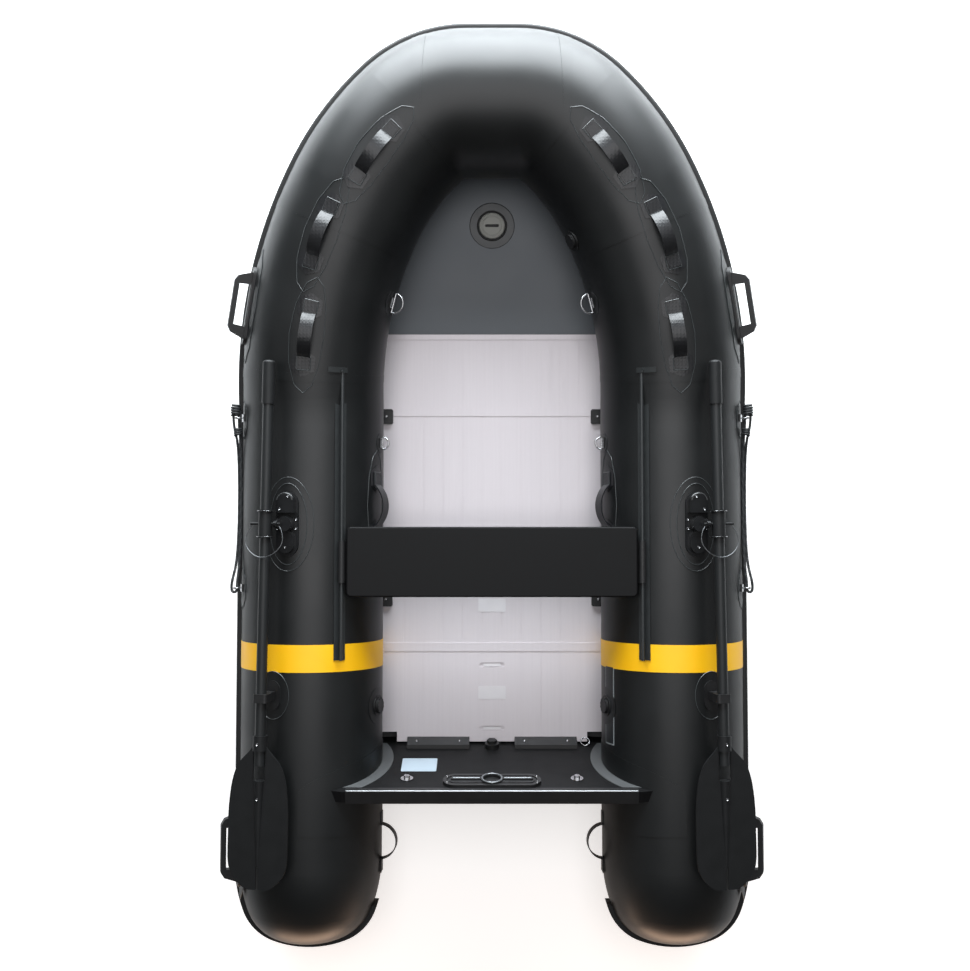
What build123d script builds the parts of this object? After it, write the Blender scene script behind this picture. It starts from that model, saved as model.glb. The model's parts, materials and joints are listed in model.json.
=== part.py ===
import os
from math import asin, cos, degrees, pi, radians, sin, sqrt, tan
from build123d import *

os.makedirs("parts", exist_ok=True)

# ---- driving dimensions, mm.  +X starboard, +Y bow, +Z up, Z = 0 is the floor ----
hull_length = 2700.0
hull_beam = 1524.0
tube_d = 420.0
strake_depth = 12.0
strake_height = 70.0
skin = 4.0
bow_tilt = 10.0          # the bow tube rises at this angle
bow_lift_radius = 600.0
bow_turns = (42.0, 20.0, 28.0)
cone_length = 134.0      # straight part of each stern cone, behind the side chamber
chine_roll = 38.0        # where the bottom fabric meets the tube, from straight down
floor_top = 92.0
board_t = 16.0
transom_rake = 14.0
transom_t = 32.0
transom_top = 410.0
transom_inset = 590.0    # from the stern tips forward to the transom's foot
seat_w = 830.0
seat_d = 200.0
seat_t = 22.0
seat_y = -214.0
rail_roll = 29.4
rail_length = 860.0
oar_shaft_d = 30.0
oar_rise = 56.0          # oar axis above the tube at its oarlock
oar_offset = 45.0
oarlock_y = -106.0
oarlock_roll = 11.5
oar_toe = 0.9
gap = 0.3

r = tube_d / 2
tube_x = hull_beam / 2 - strake_depth - r
bow_y = hull_length / 2 - strake_depth - r
stern_y = -hull_length / 2 + strake_depth
transom_foot_y = -hull_length / 2 + transom_inset
tight_r = r + 25.0
plan = tube_x / 540.0
bow_radii = (tight_r, 760.0 * plan, 1250.0 * plan)


def finish(piece, name):
    piece.part.label = name
    export_step(piece.part, f"parts/{name}.step")


# ---- the tube line: one starboard half, from the bow's centre to the stern ----
def arc_spread(radius, first, turn):
    return radius * (cos(radians(first)) - cos(radians(first + turn)))


spreads = []
heading = 90.0
for radius, turn in zip(bow_radii, bow_turns):
    heading = heading - turn
    spreads.append(radius * (cos(radians(heading)) - cos(radians(heading + turn))))
front_half = tube_x - sum(spreads)


def bow_rise():
    reach = 0.0
    bearing = 90.0
    for radius, turn in zip(bow_radii, bow_turns):
        bearing = bearing - turn
        reach += radius * (sin(radians(bearing + turn)) - sin(radians(bearing)))
    return reach


bow_reach = bow_rise()
tilt = radians(bow_tilt)
bow_z = r + bow_lift_radius * (1 - cos(tilt)) + bow_reach * sin(tilt)
joint_y = bow_y - bow_reach * cos(tilt) - bow_lift_radius * sin(tilt)


def tube_line():
    """Each run of the starboard tube line: its start frame, its kind, and what it turns about."""
    here = Vector(0, bow_y, bow_z)
    along = Vector(1, 0, 0)
    out = Vector(0, cos(tilt), sin(tilt))
    up = Vector(0, -sin(tilt), cos(tilt))
    runs = [("straight", here, along, out, up, front_half, None)]
    here = here + along * front_half
    for radius, turn in zip(bow_radii, bow_turns):
        centre = here - out * radius
        runs.append(("turn", here, along, out, up, turn, Axis(centre, up * -1)))
        a = radians(turn)
        along, out = along * cos(a) - out * sin(a), out * cos(a) + along * sin(a)
        here = centre + out * radius
    centre = here + up * bow_lift_radius
    runs.append(("turn", here, along, out, up, bow_tilt, Axis(centre, out * -1)))
    return runs


bow_runs = tube_line()


def run_along(runs, profile):
    """Carry a profile along tube runs, as straight extrusions and exact turns."""
    for kind, here, along, out, up, amount, axis in runs:
        with BuildSketch(Plane(origin=here, x_dir=out, z_dir=along)) as section:
            profile()
        if kind == "straight":
            extrude(section.sketch, amount=amount)
        else:
            revolve(section.sketch, axis=axis, revolution_arc=amount)


def frame_at(run, part, roll):
    """A plane on the starboard tube's skin: x along the tube to the stern, z straight out."""
    kind, here, along, out, up, amount, axis = bow_runs[run]
    if kind == "straight":
        here = here + along * (amount * part)
    else:
        centre = axis.position
        a = radians(amount * part)
        if run < len(bow_runs) - 1:
            radius = bow_radii[run - 1]
            along, out = along * cos(a) - out * sin(a), out * cos(a) + along * sin(a)
            here = centre + out * radius
        else:
            along, up = along * cos(a) + up * sin(a), up * cos(a) - along * sin(a)
            here = centre - up * bow_lift_radius
    normal = up * cos(radians(roll)) + out * sin(radians(roll))
    return Plane(origin=here + normal * r, x_dir=along, z_dir=normal)


def side_frame(y, roll):
    """The same plane on the straight side tube."""
    normal = Vector(sin(radians(roll)), 0, cos(radians(roll)))
    here = Vector(tube_x, y, r) + normal * r
    return Plane(origin=here, x_dir=(0, -1, 0), z_dir=normal)


def disc():
    Circle(r)


# ---- air chambers ----
with BuildPart() as bow_chamber:
    run_along(bow_runs, disc)
    mirror(about=Plane.YZ)
finish(bow_chamber, "bow_chamber")

cone_y = stern_y + 243.8
chamber_end_y = cone_y + cone_length

with BuildPart() as starboard_chamber:
    with BuildSketch(Plane.XZ.offset(-joint_y)):
        with Locations((tube_x, r)):
            Circle(r)
    extrude(amount=joint_y - chamber_end_y)
finish(starboard_chamber, "starboard_chamber")

with BuildPart() as port_chamber:
    add(mirror(starboard_chamber.part, about=Plane.YZ))
finish(port_chamber, "port_chamber")


# stern cone: a slight taper, a round shoulder and a flatter tip
taper_r, taper_turn = 420.0, 20.0
shoulder_r, shoulder_turn = 137.4, 50.0
s0 = radians(taper_turn)
s1 = radians(taper_turn + shoulder_turn)
cone_p1 = (r - taper_r * (1 - cos(s0)), taper_r * sin(s0))
cone_p2 = (cone_p1[0] - shoulder_r * (cos(s0) - cos(s1)), cone_p1[1] + shoulder_r * (sin(s1) - sin(s0)))
tip_r = cone_p2[0] / cos(s1)
cone_tip = cone_p2[1] + tip_r * (1 - sin(s1))


def cone_outline(offset):
    """Half of the cone's outline, as x from its axis and distance behind its straight part."""
    q0 = (r + offset, 0)
    q1 = (cone_p1[0] + offset * cos(s0), cone_p1[1] + offset * sin(s0))
    q2 = (cone_p2[0] + offset * cos(s1), cone_p2[1] + offset * sin(s1))
    q3 = (0, cone_tip + offset)
    t0 = (0, 1)
    t1 = (-sin(s0), cos(s0))
    t2 = (-sin(s1), cos(s1))
    return [(q0, q1, t0), (q1, q2, t1), (q2, q3, t2)]


def half_cone(offset, side=1):
    """Draw one side of the cone's outline in plan, from the straight part to the tip."""
    for first, last, lead in cone_outline(offset):
        TangentArc(
            (tube_x + side * first[0], cone_y - first[1]),
            (tube_x + side * last[0], cone_y - last[1]),
            tangent=(side * lead[0], -lead[1]),
        )


with BuildPart() as starboard_stern_cone:
    with BuildSketch(Plane.XY.offset(r)):
        with BuildLine():
            half_cone(0)
            Line((tube_x, cone_y - cone_tip), (tube_x, chamber_end_y))
            Line((tube_x, chamber_end_y), (tube_x + r, chamber_end_y))
            Line((tube_x + r, chamber_end_y), (tube_x + r, cone_y))
        make_face()
    revolve(axis=Axis((tube_x, 0, r), (0, 1, 0)))
finish(starboard_stern_cone, "starboard_stern_cone")

with BuildPart() as port_stern_cone:
    add(mirror(starboard_stern_cone.part, about=Plane.YZ))
finish(port_stern_cone, "port_stern_cone")


# ---- rub strake: a D moulding on the outer side, round the bow and the cones ----
def strake_profile():
    with Locations((r + strake_depth - 12, 0)):
        RectangleRounded(24, strake_height, 8)
    Circle(r + gap, mode=Mode.SUBTRACT)


with BuildPart() as bow_rub_strake:
    run_along(bow_runs, strake_profile)
    mirror(about=Plane.YZ)
finish(bow_rub_strake, "bow_rub_strake")


strake_end_y = cone_y - 135.0

with BuildPart() as starboard_rub_strake:
    with BuildSketch(Plane.XZ.offset(-joint_y)):
        with Locations((tube_x, r)):
            strake_profile()
    extrude(amount=joint_y - cone_y)
    with BuildSketch(Plane.XY.offset(r - strake_height / 2)) as cone_band:
        with BuildLine():
            half_cone(strake_depth)
            half_cone(strake_depth, -1)
            Line((tube_x - r - strake_depth, cone_y), (tube_x + r + strake_depth, cone_y))
        make_face()
        with Locations((tube_x - r, strake_end_y + 200)):
            Rectangle(2 * r - 60, 400, mode=Mode.SUBTRACT)
    extrude(amount=strake_height)
    with BuildSketch(Plane.XY.offset(r + gap)):
        with BuildLine():
            half_cone(gap)
            Line((tube_x, cone_y - cone_tip - gap), (tube_x, cone_y + 5))
            Line((tube_x, cone_y + 5), (tube_x + r + gap, cone_y + 5))
            Line((tube_x + r + gap, cone_y + 5), (tube_x + r + gap, cone_y))
        make_face()
    revolve(axis=Axis((tube_x, 0, r), (0, 1, 0)), mode=Mode.SUBTRACT)
    with BuildSketch(Plane.XZ.offset(-cone_y - 5)):
        with Locations((tube_x, r)):
            Circle(r + gap)
    extrude(amount=5, mode=Mode.SUBTRACT)
    add(starboard_stern_cone.part, mode=Mode.SUBTRACT)
finish(starboard_rub_strake, "starboard_rub_strake")

with BuildPart() as port_rub_strake:
    add(mirror(starboard_rub_strake.part, about=Plane.YZ))
finish(port_rub_strake, "port_rub_strake")

# ---- bottom: a fabric V with an inflated keel, carried up to the bow tube ----
chine_in = r * sin(radians(chine_roll))
chine_down = r * cos(radians(chine_roll))
chine_x = tube_x - chine_in
chine_z = r - chine_down
keel_flat_y = 450.0
guard_t = 3.0            # the chafing strip under the keel carries the boat's middle
keel_top_y = bow_y - 119.0
keel_top_z = 150.0


def keel_z(y):
    if y <= keel_flat_y:
        return guard_t
    return guard_t + keel_top_z * ((y - keel_flat_y) / (keel_top_y - keel_flat_y)) ** 2.2


def chine_at(run, part):
    """Where the bottom meets the tube, part of the way along a run: x, y, z."""
    frame = frame_at(run, part, 180 + chine_roll)
    return frame.origin


bottom_end_y = transom_foot_y - 40.0
reach_in = 25.0          # how far each section runs into the tube before it is trimmed
stations = [(bottom_end_y, chine_x, chine_z), (joint_y, chine_x, chine_z)]
for run, part in ((4, 0.5), (4, 0.0), (3, 0.67), (3, 0.33), (3, 0.0), (2, 0.5), (2, 0.0)):
    point = frame_at(run, part, 180 + chine_roll).origin
    stations.append((point.Y, point.X, point.Z))
stations.append((bow_y - 43.0, front_half + 0.0, keel_z(bow_y - 43.0) + 3.0))


def bottom_section(y, half, edge_z, lift, depth):
    """A V across the hull: lift raises it, depth is its thickness (0 fills it flat above)."""
    low = keel_z(y)
    slope = (edge_z - low) / half
    wide = half + reach_in
    high = low + slope * wide
    with BuildSketch(Plane.XZ.offset(-y)) as section:
        with BuildLine():
            if depth:
                Polyline(
                    (-wide, high + lift), (0, low + lift), (wide, high + lift),
                    (wide, high + lift + depth), (0, low + lift + depth), (-wide, high + lift + depth),
                    close=True,
                )
            else:
                top = high + lift + 120
                Polyline((-wide, top), (-wide, high + lift), (0, low + lift), (wide, high + lift),
                         (wide, top), close=True)
        make_face()
    return section.sketch


def trim_to_tubes():
    add(bow_chamber.part, mode=Mode.SUBTRACT)
    add(port_chamber.part, mode=Mode.SUBTRACT)
    add(starboard_chamber.part, mode=Mode.SUBTRACT)


with BuildPart() as hull_bottom:
    loft([bottom_section(y, half, z, 0, skin) for y, half, z in stations], ruled=True)
    trim_to_tubes()
    with BuildSketch(Plane.YZ.offset(-600)) as behind:
        with BuildLine():
            Polyline(
                (transom_foot_y, 0), (transom_foot_y - 300 * tan(radians(transom_rake)), 300),
                (transom_foot_y - 300, 300), (transom_foot_y - 300, 0), close=True,
            )
        make_face()
    extrude(amount=1200, mode=Mode.SUBTRACT)
finish(hull_bottom, "hull_bottom")

guard_half = 34.0


def guard_section(y, half, edge_z):
    """The chafing strip across the keel: it follows the V."""
    low = keel_z(y)
    rise = (edge_z - low) / half * guard_half
    with BuildSketch(Plane.XZ.offset(-y)) as section:
        with BuildLine():
            Polyline(
                (-guard_half, low + rise), (0, low), (guard_half, low + rise),
                (guard_half - 4, low + rise - guard_t), (0, low - guard_t),
                (4 - guard_half, low + rise - guard_t), close=True,
            )
        make_face()
    return section.sketch


with BuildPart() as keel_guard:
    loft([guard_section(y, half, z) for y, half, z in stations[:-2]], ruled=True)
    with BuildSketch(Plane.YZ.offset(-100)):
        with BuildLine():
            Polyline(
                (transom_foot_y + 4, -10), (transom_foot_y + 4, 60), (transom_foot_y - 80, 60),
                (transom_foot_y - 80, -10), close=True,
            )
        make_face()
    extrude(amount=200, mode=Mode.SUBTRACT)
    add(hull_bottom.part, mode=Mode.SUBTRACT)
finish(keel_guard, "keel_guard")

with BuildPart() as inside_hull:
    loft([bottom_section(y, half, z, skin, 0) for y, half, z in stations], ruled=True)

# ---- bow floor panel: lies in the V ahead of the aluminium boards, tipped up with the keel ----
panel_aft_y = joint_y + 314.4
panel_tip = 8.0
panel_t = 12.0
valve_y = panel_aft_y + 336.0
valve_hole = 70.0
valve_cap_r = 40.0
panel_plane = Plane(
    origin=(0, panel_aft_y, floor_top - panel_t),
    x_dir=(1, 0, 0),
    z_dir=(0, -sin(radians(panel_tip)), cos(radians(panel_tip))),
)

with BuildPart() as bow_floor_panel:
    loft([bottom_section(y, half, z, skin + 1.0, 0) for y, half, z in stations[3:]], ruled=True)
    with BuildSketch(panel_plane) as slab:
        with Locations((0, 251.5)):
            Rectangle(1000, 497)
        with Locations(((0, (valve_y - panel_aft_y) / cos(radians(panel_tip))))):
            Circle(valve_hole, mode=Mode.SUBTRACT)
    extrude(amount=panel_t, mode=Mode.INTERSECT)
    trim_to_tubes()
finish(bow_floor_panel, "bow_floor_panel")

# the keel's filling valve stands in the panel's round hole
valve_up = (valve_y - panel_aft_y) / cos(radians(panel_tip))

with BuildPart() as keel_valve_collar:
    with BuildSketch(panel_plane.offset(-8)):
        with Locations((0, valve_up)):
            Circle(valve_hole - 0.5)
            Circle(valve_cap_r + 0.4, mode=Mode.SUBTRACT)
    extrude(amount=8 + panel_t - 4)
finish(keel_valve_collar, "keel_valve_collar")

with BuildPart() as keel_valve_cap:
    with BuildSketch(panel_plane.offset(-8)):
        with Locations((0, valve_up)):
            Circle(valve_cap_r)
    extrude(amount=8 + panel_t + 3)
    fillet(keel_valve_cap.edges().filter_by(GeomType.CIRCLE).sort_by(Axis.Z)[-1], 3)
    with BuildSketch(panel_plane.offset(panel_t - 5)):
        with Locations((0, valve_up)):
            SlotOverall(44, 9)
    extrude(amount=20, mode=Mode.SUBTRACT)
finish(keel_valve_cap, "keel_valve_cap")

# ---- aluminium floor: four boards of ribbed plank, joined by cross profiles, edges in stringers ----
stringer_in = 336.0
stringer_out = 362.0
board_half = 350.0
joiner_w = 26.0
board_shares = (0.0, 0.1934, 0.4819, 0.7704, 1.0)
boards_end_y = transom_foot_y - 16.0
board_breaks = [panel_aft_y + (boards_end_y - panel_aft_y) * share for share in board_shares]
plank_pitch = 61.0
groove_w = 3.0
groove_deep = 1.5
board_z = floor_top - board_t


pull_deep = 5.0
pull_inset = (56.0, 251.0)  # each finger pull, from the aft board's front edge


def floor_board(front, back, pulls=(), rear_slots=False):
    """One board: flat planks with shallow grooves between them along the boat."""
    with BuildSketch(Plane.XY.offset(board_z)) as outline:
        with Locations((0, (front + back) / 2)):
            Rectangle(2 * board_half, front - back)
        if rear_slots:
            with Locations((-board_half, back), (board_half, back)):
                Rectangle(110, 60, mode=Mode.SUBTRACT)
    extrude(outline.sketch, amount=board_t)
    for x, y, w, h in pulls:
        with BuildSketch(Plane.XY.offset(floor_top - pull_deep)) as pull:
            with Locations((x, y)):
                SlotOverall(w, h)
        extrude(pull.sketch, amount=pull_deep, mode=Mode.SUBTRACT)
    length = front - back
    with BuildSketch(Plane.XY.offset(floor_top - groove_deep)) as grooves:
        with Locations((0, (front + back) / 2)):
            with GridLocations(plank_pitch, 0, 10, 1):
                Rectangle(groove_w, length, mode=Mode.ADD)
    extrude(grooves.sketch, amount=groove_deep, mode=Mode.SUBTRACT)


half_j = joiner_w / 2 - 8.0

with BuildPart() as forward_floorboard:
    floor_board(board_breaks[0] - half_j, board_breaks[1] + half_j)
    add(inside_hull.part, mode=Mode.INTERSECT)
finish(forward_floorboard, "forward_floorboard")

with BuildPart() as second_floorboard:
    floor_board(board_breaks[1] - half_j, board_breaks[2] + half_j)
finish(second_floorboard, "second_floorboard")

with BuildPart() as third_floorboard:
    floor_board(board_breaks[2] - half_j, board_breaks[3] + half_j)
finish(third_floorboard, "third_floorboard")

with BuildPart() as aft_floorboard:
    floor_board(
        board_breaks[3] - half_j, board_breaks[4],
        pulls=[(0, board_breaks[3] - inset, 78, 15) for inset in pull_inset], rear_slots=True,
    )
finish(aft_floorboard, "aft_floorboard")


def cross_joiner(y):
    """An H profile that takes the edge of a board on each side."""
    with BuildSketch(Plane.YZ.offset(-stringer_in + 1)) as profile:
        with Locations((y, floor_top - board_t / 2)):
            Rectangle(joiner_w, board_t + 5)
            Rectangle(2 * half_j, board_t + 5)
        with Locations((y - half_j - 10, floor_top - board_t / 2), (y + half_j + 10, floor_top - board_t / 2)):
            Rectangle(20, board_t, mode=Mode.SUBTRACT)
    extrude(profile.sketch, amount=2 * stringer_in - 2)


with BuildPart() as floor_joiners:
    for y in board_breaks[1:4]:
        cross_joiner(y)
    with BuildSketch(Plane.YZ.offset(-stringer_in + 1)) as nose:
        with Locations((board_breaks[0] - half_j + 2.3, floor_top - board_t / 2 + 1.25)):
            Rectangle(4.6, board_t + 2.5)
        with Locations((board_breaks[0] - half_j - 6, floor_top + 1.25)):
            Rectangle(12, 2.5)
    extrude(amount=2 * stringer_in - 2)
    add(inside_hull.part, mode=Mode.INTERSECT)
finish(floor_joiners, "floor_joiners")

stringer_low = chine_z * stringer_in / chine_x + skin
stringer_front = panel_aft_y - 196.0
stringer_back = transom_foot_y + 60.0

with BuildPart() as floor_stringers:
    with BuildSketch(Plane.XZ.offset(-stringer_front)):
        with BuildLine():
            Polyline(
                (stringer_in, stringer_low), (stringer_out, stringer_low + 2.9),
                (stringer_out, floor_top + 2), (stringer_in, floor_top + 2),
                (stringer_in, floor_top), (board_half, floor_top), (board_half, board_z),
                (stringer_in, board_z), close=True,
            )
        make_face()
    extrude(amount=stringer_front - stringer_back)
    add(inside_hull.part, mode=Mode.INTERSECT)
    mirror(about=Plane.YZ)
finish(floor_stringers, "floor_stringers")

keel_r = (board_z - 2.5 - skin - 1.2) / 2
keel_front_y = panel_aft_y - 66.0
keel_back_y = transom_foot_y + 30.0

with BuildPart() as air_keel:
    with BuildSketch(Plane.XZ.offset(-keel_front_y)):
        with Locations((0, skin + keel_r + 0.8)):
            Ellipse(46, keel_r)
    extrude(amount=keel_front_y - keel_back_y)
    add(inside_hull.part, mode=Mode.INTERSECT)
finish(air_keel, "air_keel")

# ---- transom: raked board between the side chambers ----
rake = radians(transom_rake)
transom_face = Plane(
    origin=(0, transom_foot_y, 0), x_dir=(1, 0, 0), z_dir=(0, -cos(rake), -sin(rake))
)
up_face = 1 / cos(rake)      # height above the floor to distance up the face
top_half = 425.0


def transom_outline(low=0.0, high=transom_top):
    with BuildLine() as edge:
        Polyline(
            (0, low * up_face), (chine_x + 60, (low + chine_z * 1.15) * up_face),
            (tube_x - 78, (high - 8) * up_face), (top_half, high * up_face),
            (-top_half, high * up_face), (-tube_x + 78, (high - 8) * up_face),
            (-chine_x - 60, (low + chine_z * 1.15) * up_face), close=True,
        )
    make_face(edge.edges())


tow_x = 246.0
tow_z = 330.0
tow_bore = 8.0

with BuildPart() as transom_board:
    with BuildSketch(transom_face):
        transom_outline(guard_t)
        with Locations((0, 116 * up_face)):
            Circle(13.3, mode=Mode.SUBTRACT)
        with Locations((-tow_x, tow_z * up_face), (tow_x, tow_z * up_face)):
            Circle(5.3, mode=Mode.SUBTRACT)
    extrude(amount=transom_t)
    trim_to_tubes()
finish(transom_board, "transom_board")

cap_t = 3.0
cap_drop = 20.0

with BuildPart() as transom_cap:
    with BuildSketch(transom_face.offset(-cap_t)):
        with Locations((0, transom_top * up_face - cap_drop / 2 + cap_t / 2)):
            Rectangle(2 * top_half - 20, cap_drop + cap_t)
    extrude(amount=transom_t + 2 * cap_t)
    add(transom_board.part, mode=Mode.SUBTRACT)
finish(transom_cap, "transom_cap")

plate_h = 74.0
plate_w = 282.0
plate_ring_d = 64.0
plate_mid = transom_top * up_face - cap_drop - 2 - plate_h / 2

with BuildPart() as inner_motor_plate:
    with BuildSketch(transom_face.offset(-10)):
        with Locations((0, plate_mid)):
            SlotOverall(plate_w, plate_h)
    extrude(amount=10)
    with BuildSketch(transom_face.offset(-10)):
        with Locations((0, plate_mid)):
            SlotOverall(plate_w - 22, plate_h - 22)
            SlotOverall(plate_w - 34, plate_h - 34, mode=Mode.SUBTRACT)
    extrude(amount=2.5, mode=Mode.SUBTRACT)
    with BuildSketch(transom_face.offset(-14)):
        with Locations((0, plate_mid)):
            Circle(plate_ring_d / 2)
        with Locations((-74, plate_mid), (74, plate_mid)):
            SlotOverall(88, 8)
    extrude(amount=8)
    with BuildSketch(transom_face.offset(-14)):
        with Locations((0, plate_mid)):
            Circle(plate_ring_d / 2 - 7)
    extrude(amount=9, mode=Mode.SUBTRACT)
finish(inner_motor_plate, "inner_motor_plate")

with BuildPart() as outer_motor_plate:
    with BuildSketch(transom_face.offset(transom_t)):
        with Locations((0, transom_top * up_face - cap_drop - 2 - 90)):
            RectangleRounded(300, 180, 24)
    extrude(amount=8)
finish(outer_motor_plate, "outer_motor_plate")


with BuildPart() as transom_gussets:
    with BuildSketch(transom_face.offset(-2.5)):
        with BuildLine():
            Polyline(
                (0, floor_top * up_face), (tube_x - 60, floor_top * up_face),
                (tube_x - 90, (transom_top - cap_drop - 3) * up_face),
                (0, (transom_top - cap_drop - 3) * up_face), close=True,
            )
        make_face()
        with Locations((tube_x, r * up_face)):
            Ellipse(r + 34, (r + 34) * up_face, mode=Mode.INTERSECT)
            Ellipse(r + 0.3, (r + 0.3) * up_face, mode=Mode.SUBTRACT)
    extrude(amount=2.5)
    trim_to_tubes()
    mirror(about=Plane.YZ)
finish(transom_gussets, "transom_gussets")

with BuildPart() as drain_valve:
    with BuildSketch(transom_face.offset(-14)):
        with Locations((0, 116 * up_face)):
            Circle(22)
    extrude(amount=14)
    with BuildSketch(transom_face.offset(-24)):
        with Locations((0, 116 * up_face)):
            RegularPolygon(15, 6)
    extrude(amount=10)
    with BuildSketch(transom_face):
        with Locations((0, 116 * up_face)):
            Circle(13)
    extrude(amount=transom_t)
    with BuildSketch(transom_face.offset(transom_t)):
        with Locations((0, 116 * up_face)):
            Circle(24)
    extrude(amount=6)
finish(drain_valve, "drain_valve")

# ---- tow eyes: a bolt through the board, a washer and nut inside, an eye plate behind ----
with BuildPart() as tow_eyes:
    with BuildSketch(transom_face.offset(-3)):
        with Locations((-tow_x, tow_z * up_face), (tow_x, tow_z * up_face)):
            Circle(18)
    extrude(amount=3)
    with BuildSketch(transom_face.offset(-11)):
        with Locations((-tow_x, tow_z * up_face), (tow_x, tow_z * up_face)):
            RegularPolygon(9, 6)
    extrude(amount=8)
    with BuildSketch(transom_face.offset(-3)):
        with Locations((-tow_x, tow_z * up_face), (tow_x, tow_z * up_face)):
            Circle(5)
    extrude(amount=transom_t + 6)
    with BuildSketch(transom_face.offset(transom_t)):
        with Locations((-tow_x, tow_z * up_face), (tow_x, tow_z * up_face)):
            RectangleRounded(52, 44, 8)
    extrude(amount=5)
    lug = Plane(origin=transom_face.origin, x_dir=(1, 0, 0), z_dir=transom_face.y_dir)
    with BuildSketch(lug.offset(tow_z * up_face - 5)):
        with Locations((-tow_x, -transom_t - 16), (tow_x, -transom_t - 16)):
            SlotOverall(56, 30, rotation=90)
            Circle(tow_bore, mode=Mode.SUBTRACT)
        with Locations((0, -transom_t / 2)):
            Rectangle(900, transom_t + 6, mode=Mode.SUBTRACT)
    extrude(amount=10)
finish(tow_eyes, "tow_eyes")

# ---- retainers that hold the boards' aft edge down, against the transom ----
with BuildPart() as floor_retainers:
    for x in (-262.0, 70.0):
        with BuildSketch(Plane.YZ.offset(x)):
            with BuildLine():
                at = transom_foot_y - floor_top * tan(rake)
                Polyline(
                    (at - 1 * 0.25, floor_top), (at + 22, floor_top), (at + 20, floor_top + 9),
                    (at + 3, floor_top + 36), (at - 36 * tan(rake), floor_top + 36), close=True,
                )
            make_face()
        extrude(amount=192)
    add(transom_board.part, mode=Mode.SUBTRACT)
finish(floor_retainers, "floor_retainers")

# ---- clips that lock the board joints at the stringers ----
clip_sites = [(side * 330.0, y) for side in (-1, 1) for y in (235.0, -335.0)]

with BuildPart() as stringer_clips:
    with BuildSketch(Plane.XY.offset(floor_top + 2.5)):
        with Locations(*clip_sites):
            RectangleRounded(40, 46, 6)
    extrude(amount=12)
finish(stringer_clips, "stringer_clips")

# ---- seat rails: a bead on a bonded strip along each tube's inner shoulder ----
bead_d = 10.0
bead_rise = 15.0
rail_front_y = joint_y + 184.4
rail_back_y = rail_front_y - rail_length
shoulder = radians(rail_roll)


def rail_plane(y, side=1):
    """Across the boat at one rail: x inboard to outboard is local x, local y is off the tube."""
    base = Vector(tube_x - r * sin(shoulder), y, r + r * cos(shoulder))
    out = Vector(-sin(shoulder), 0, cos(shoulder))
    return Plane(origin=base, x_dir=Vector(cos(shoulder), 0, sin(shoulder)), z_dir=(0, -1, 0))


with BuildPart() as seat_rails:
    with BuildSketch(rail_plane(rail_front_y)):
        with Locations((0, 1.6)):
            Rectangle(34, 3.2)
        with Locations((0, bead_rise / 2)):
            Rectangle(3.2, bead_rise)
        with Locations((0, bead_rise)):
            Circle(bead_d / 2)
    extrude(amount=rail_length)
    add(starboard_chamber.part, mode=Mode.SUBTRACT)
    add(bow_chamber.part, mode=Mode.SUBTRACT)
    mirror(about=Plane.YZ)
finish(seat_rails, "seat_rails")

# ---- seat: a board that slides on the rails ----
bead_x = tube_x - (r + bead_rise) * sin(shoulder)
bead_z = r + (r + bead_rise) * cos(shoulder)
seat_low = bead_z - 12.5
hook_len = 120.0
hook_out_d = 20.0

with BuildPart() as seat_board:
    with BuildSketch(Plane.XY.offset(seat_low)):
        with Locations((0, seat_y)):
            RectangleRounded(seat_w, seat_d, 14)
    extrude(amount=seat_t)
    fillet(seat_board.edges().group_by(Axis.Z)[-1], 5)
    fillet(seat_board.edges().group_by(Axis.Z)[0], 3)
finish(seat_board, "seat_board")


def seat_hook():
    """A hook under one end of the board: a split tube round the rail's bead, and a foot."""
    with BuildSketch(Plane.XZ.offset(-(seat_y + hook_len / 2))) as section:
        with Locations((bead_x, bead_z)):
            Circle(hook_out_d / 2)
        with BuildSketch(mode=Mode.ADD) as foot:
            with BuildLine():
                Polyline(
                    (bead_x - 70, seat_low), (bead_x - 70, seat_low - 4.0),
                    (bead_x - 6, seat_low - 4.0), (bead_x, bead_z), (bead_x - 8, bead_z + 5),
                    (seat_w / 2 + 0.3, seat_low + 6), (seat_w / 2 + 0.3, seat_low), close=True,
                )
            make_face()
        with Locations((bead_x, bead_z)):
            Circle(bead_d / 2 + gap, mode=Mode.SUBTRACT)
    return section.sketch


with BuildPart() as seat_hooks:
    extrude(seat_hook(), amount=hook_len)
    with BuildSketch(rail_plane(seat_y + hook_len / 2 + 1)):
        with Locations((0, 0)):
            Rectangle(6.4, 2 * bead_rise)
    extrude(amount=hook_len + 2, mode=Mode.SUBTRACT)
    mirror(about=Plane.YZ)
finish(seat_hooks, "seat_hooks")

# ---- oarlock base: a moulded pad on the tube with a housing, a pivot boss and a tongue ----
lock_roll = radians(oarlock_roll)
lock_n = Vector(sin(lock_roll), 0, cos(lock_roll))
lock_t = Vector(cos(lock_roll), 0, -sin(lock_roll))
lock_base = Vector(tube_x, oarlock_y, r) + lock_n * r
lock_plane = Plane(origin=lock_base, x_dir=lock_t, z_dir=lock_n)
boss_top = 24.0
swivel_bore = 8.3
swivel_pin = 8.0

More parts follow.
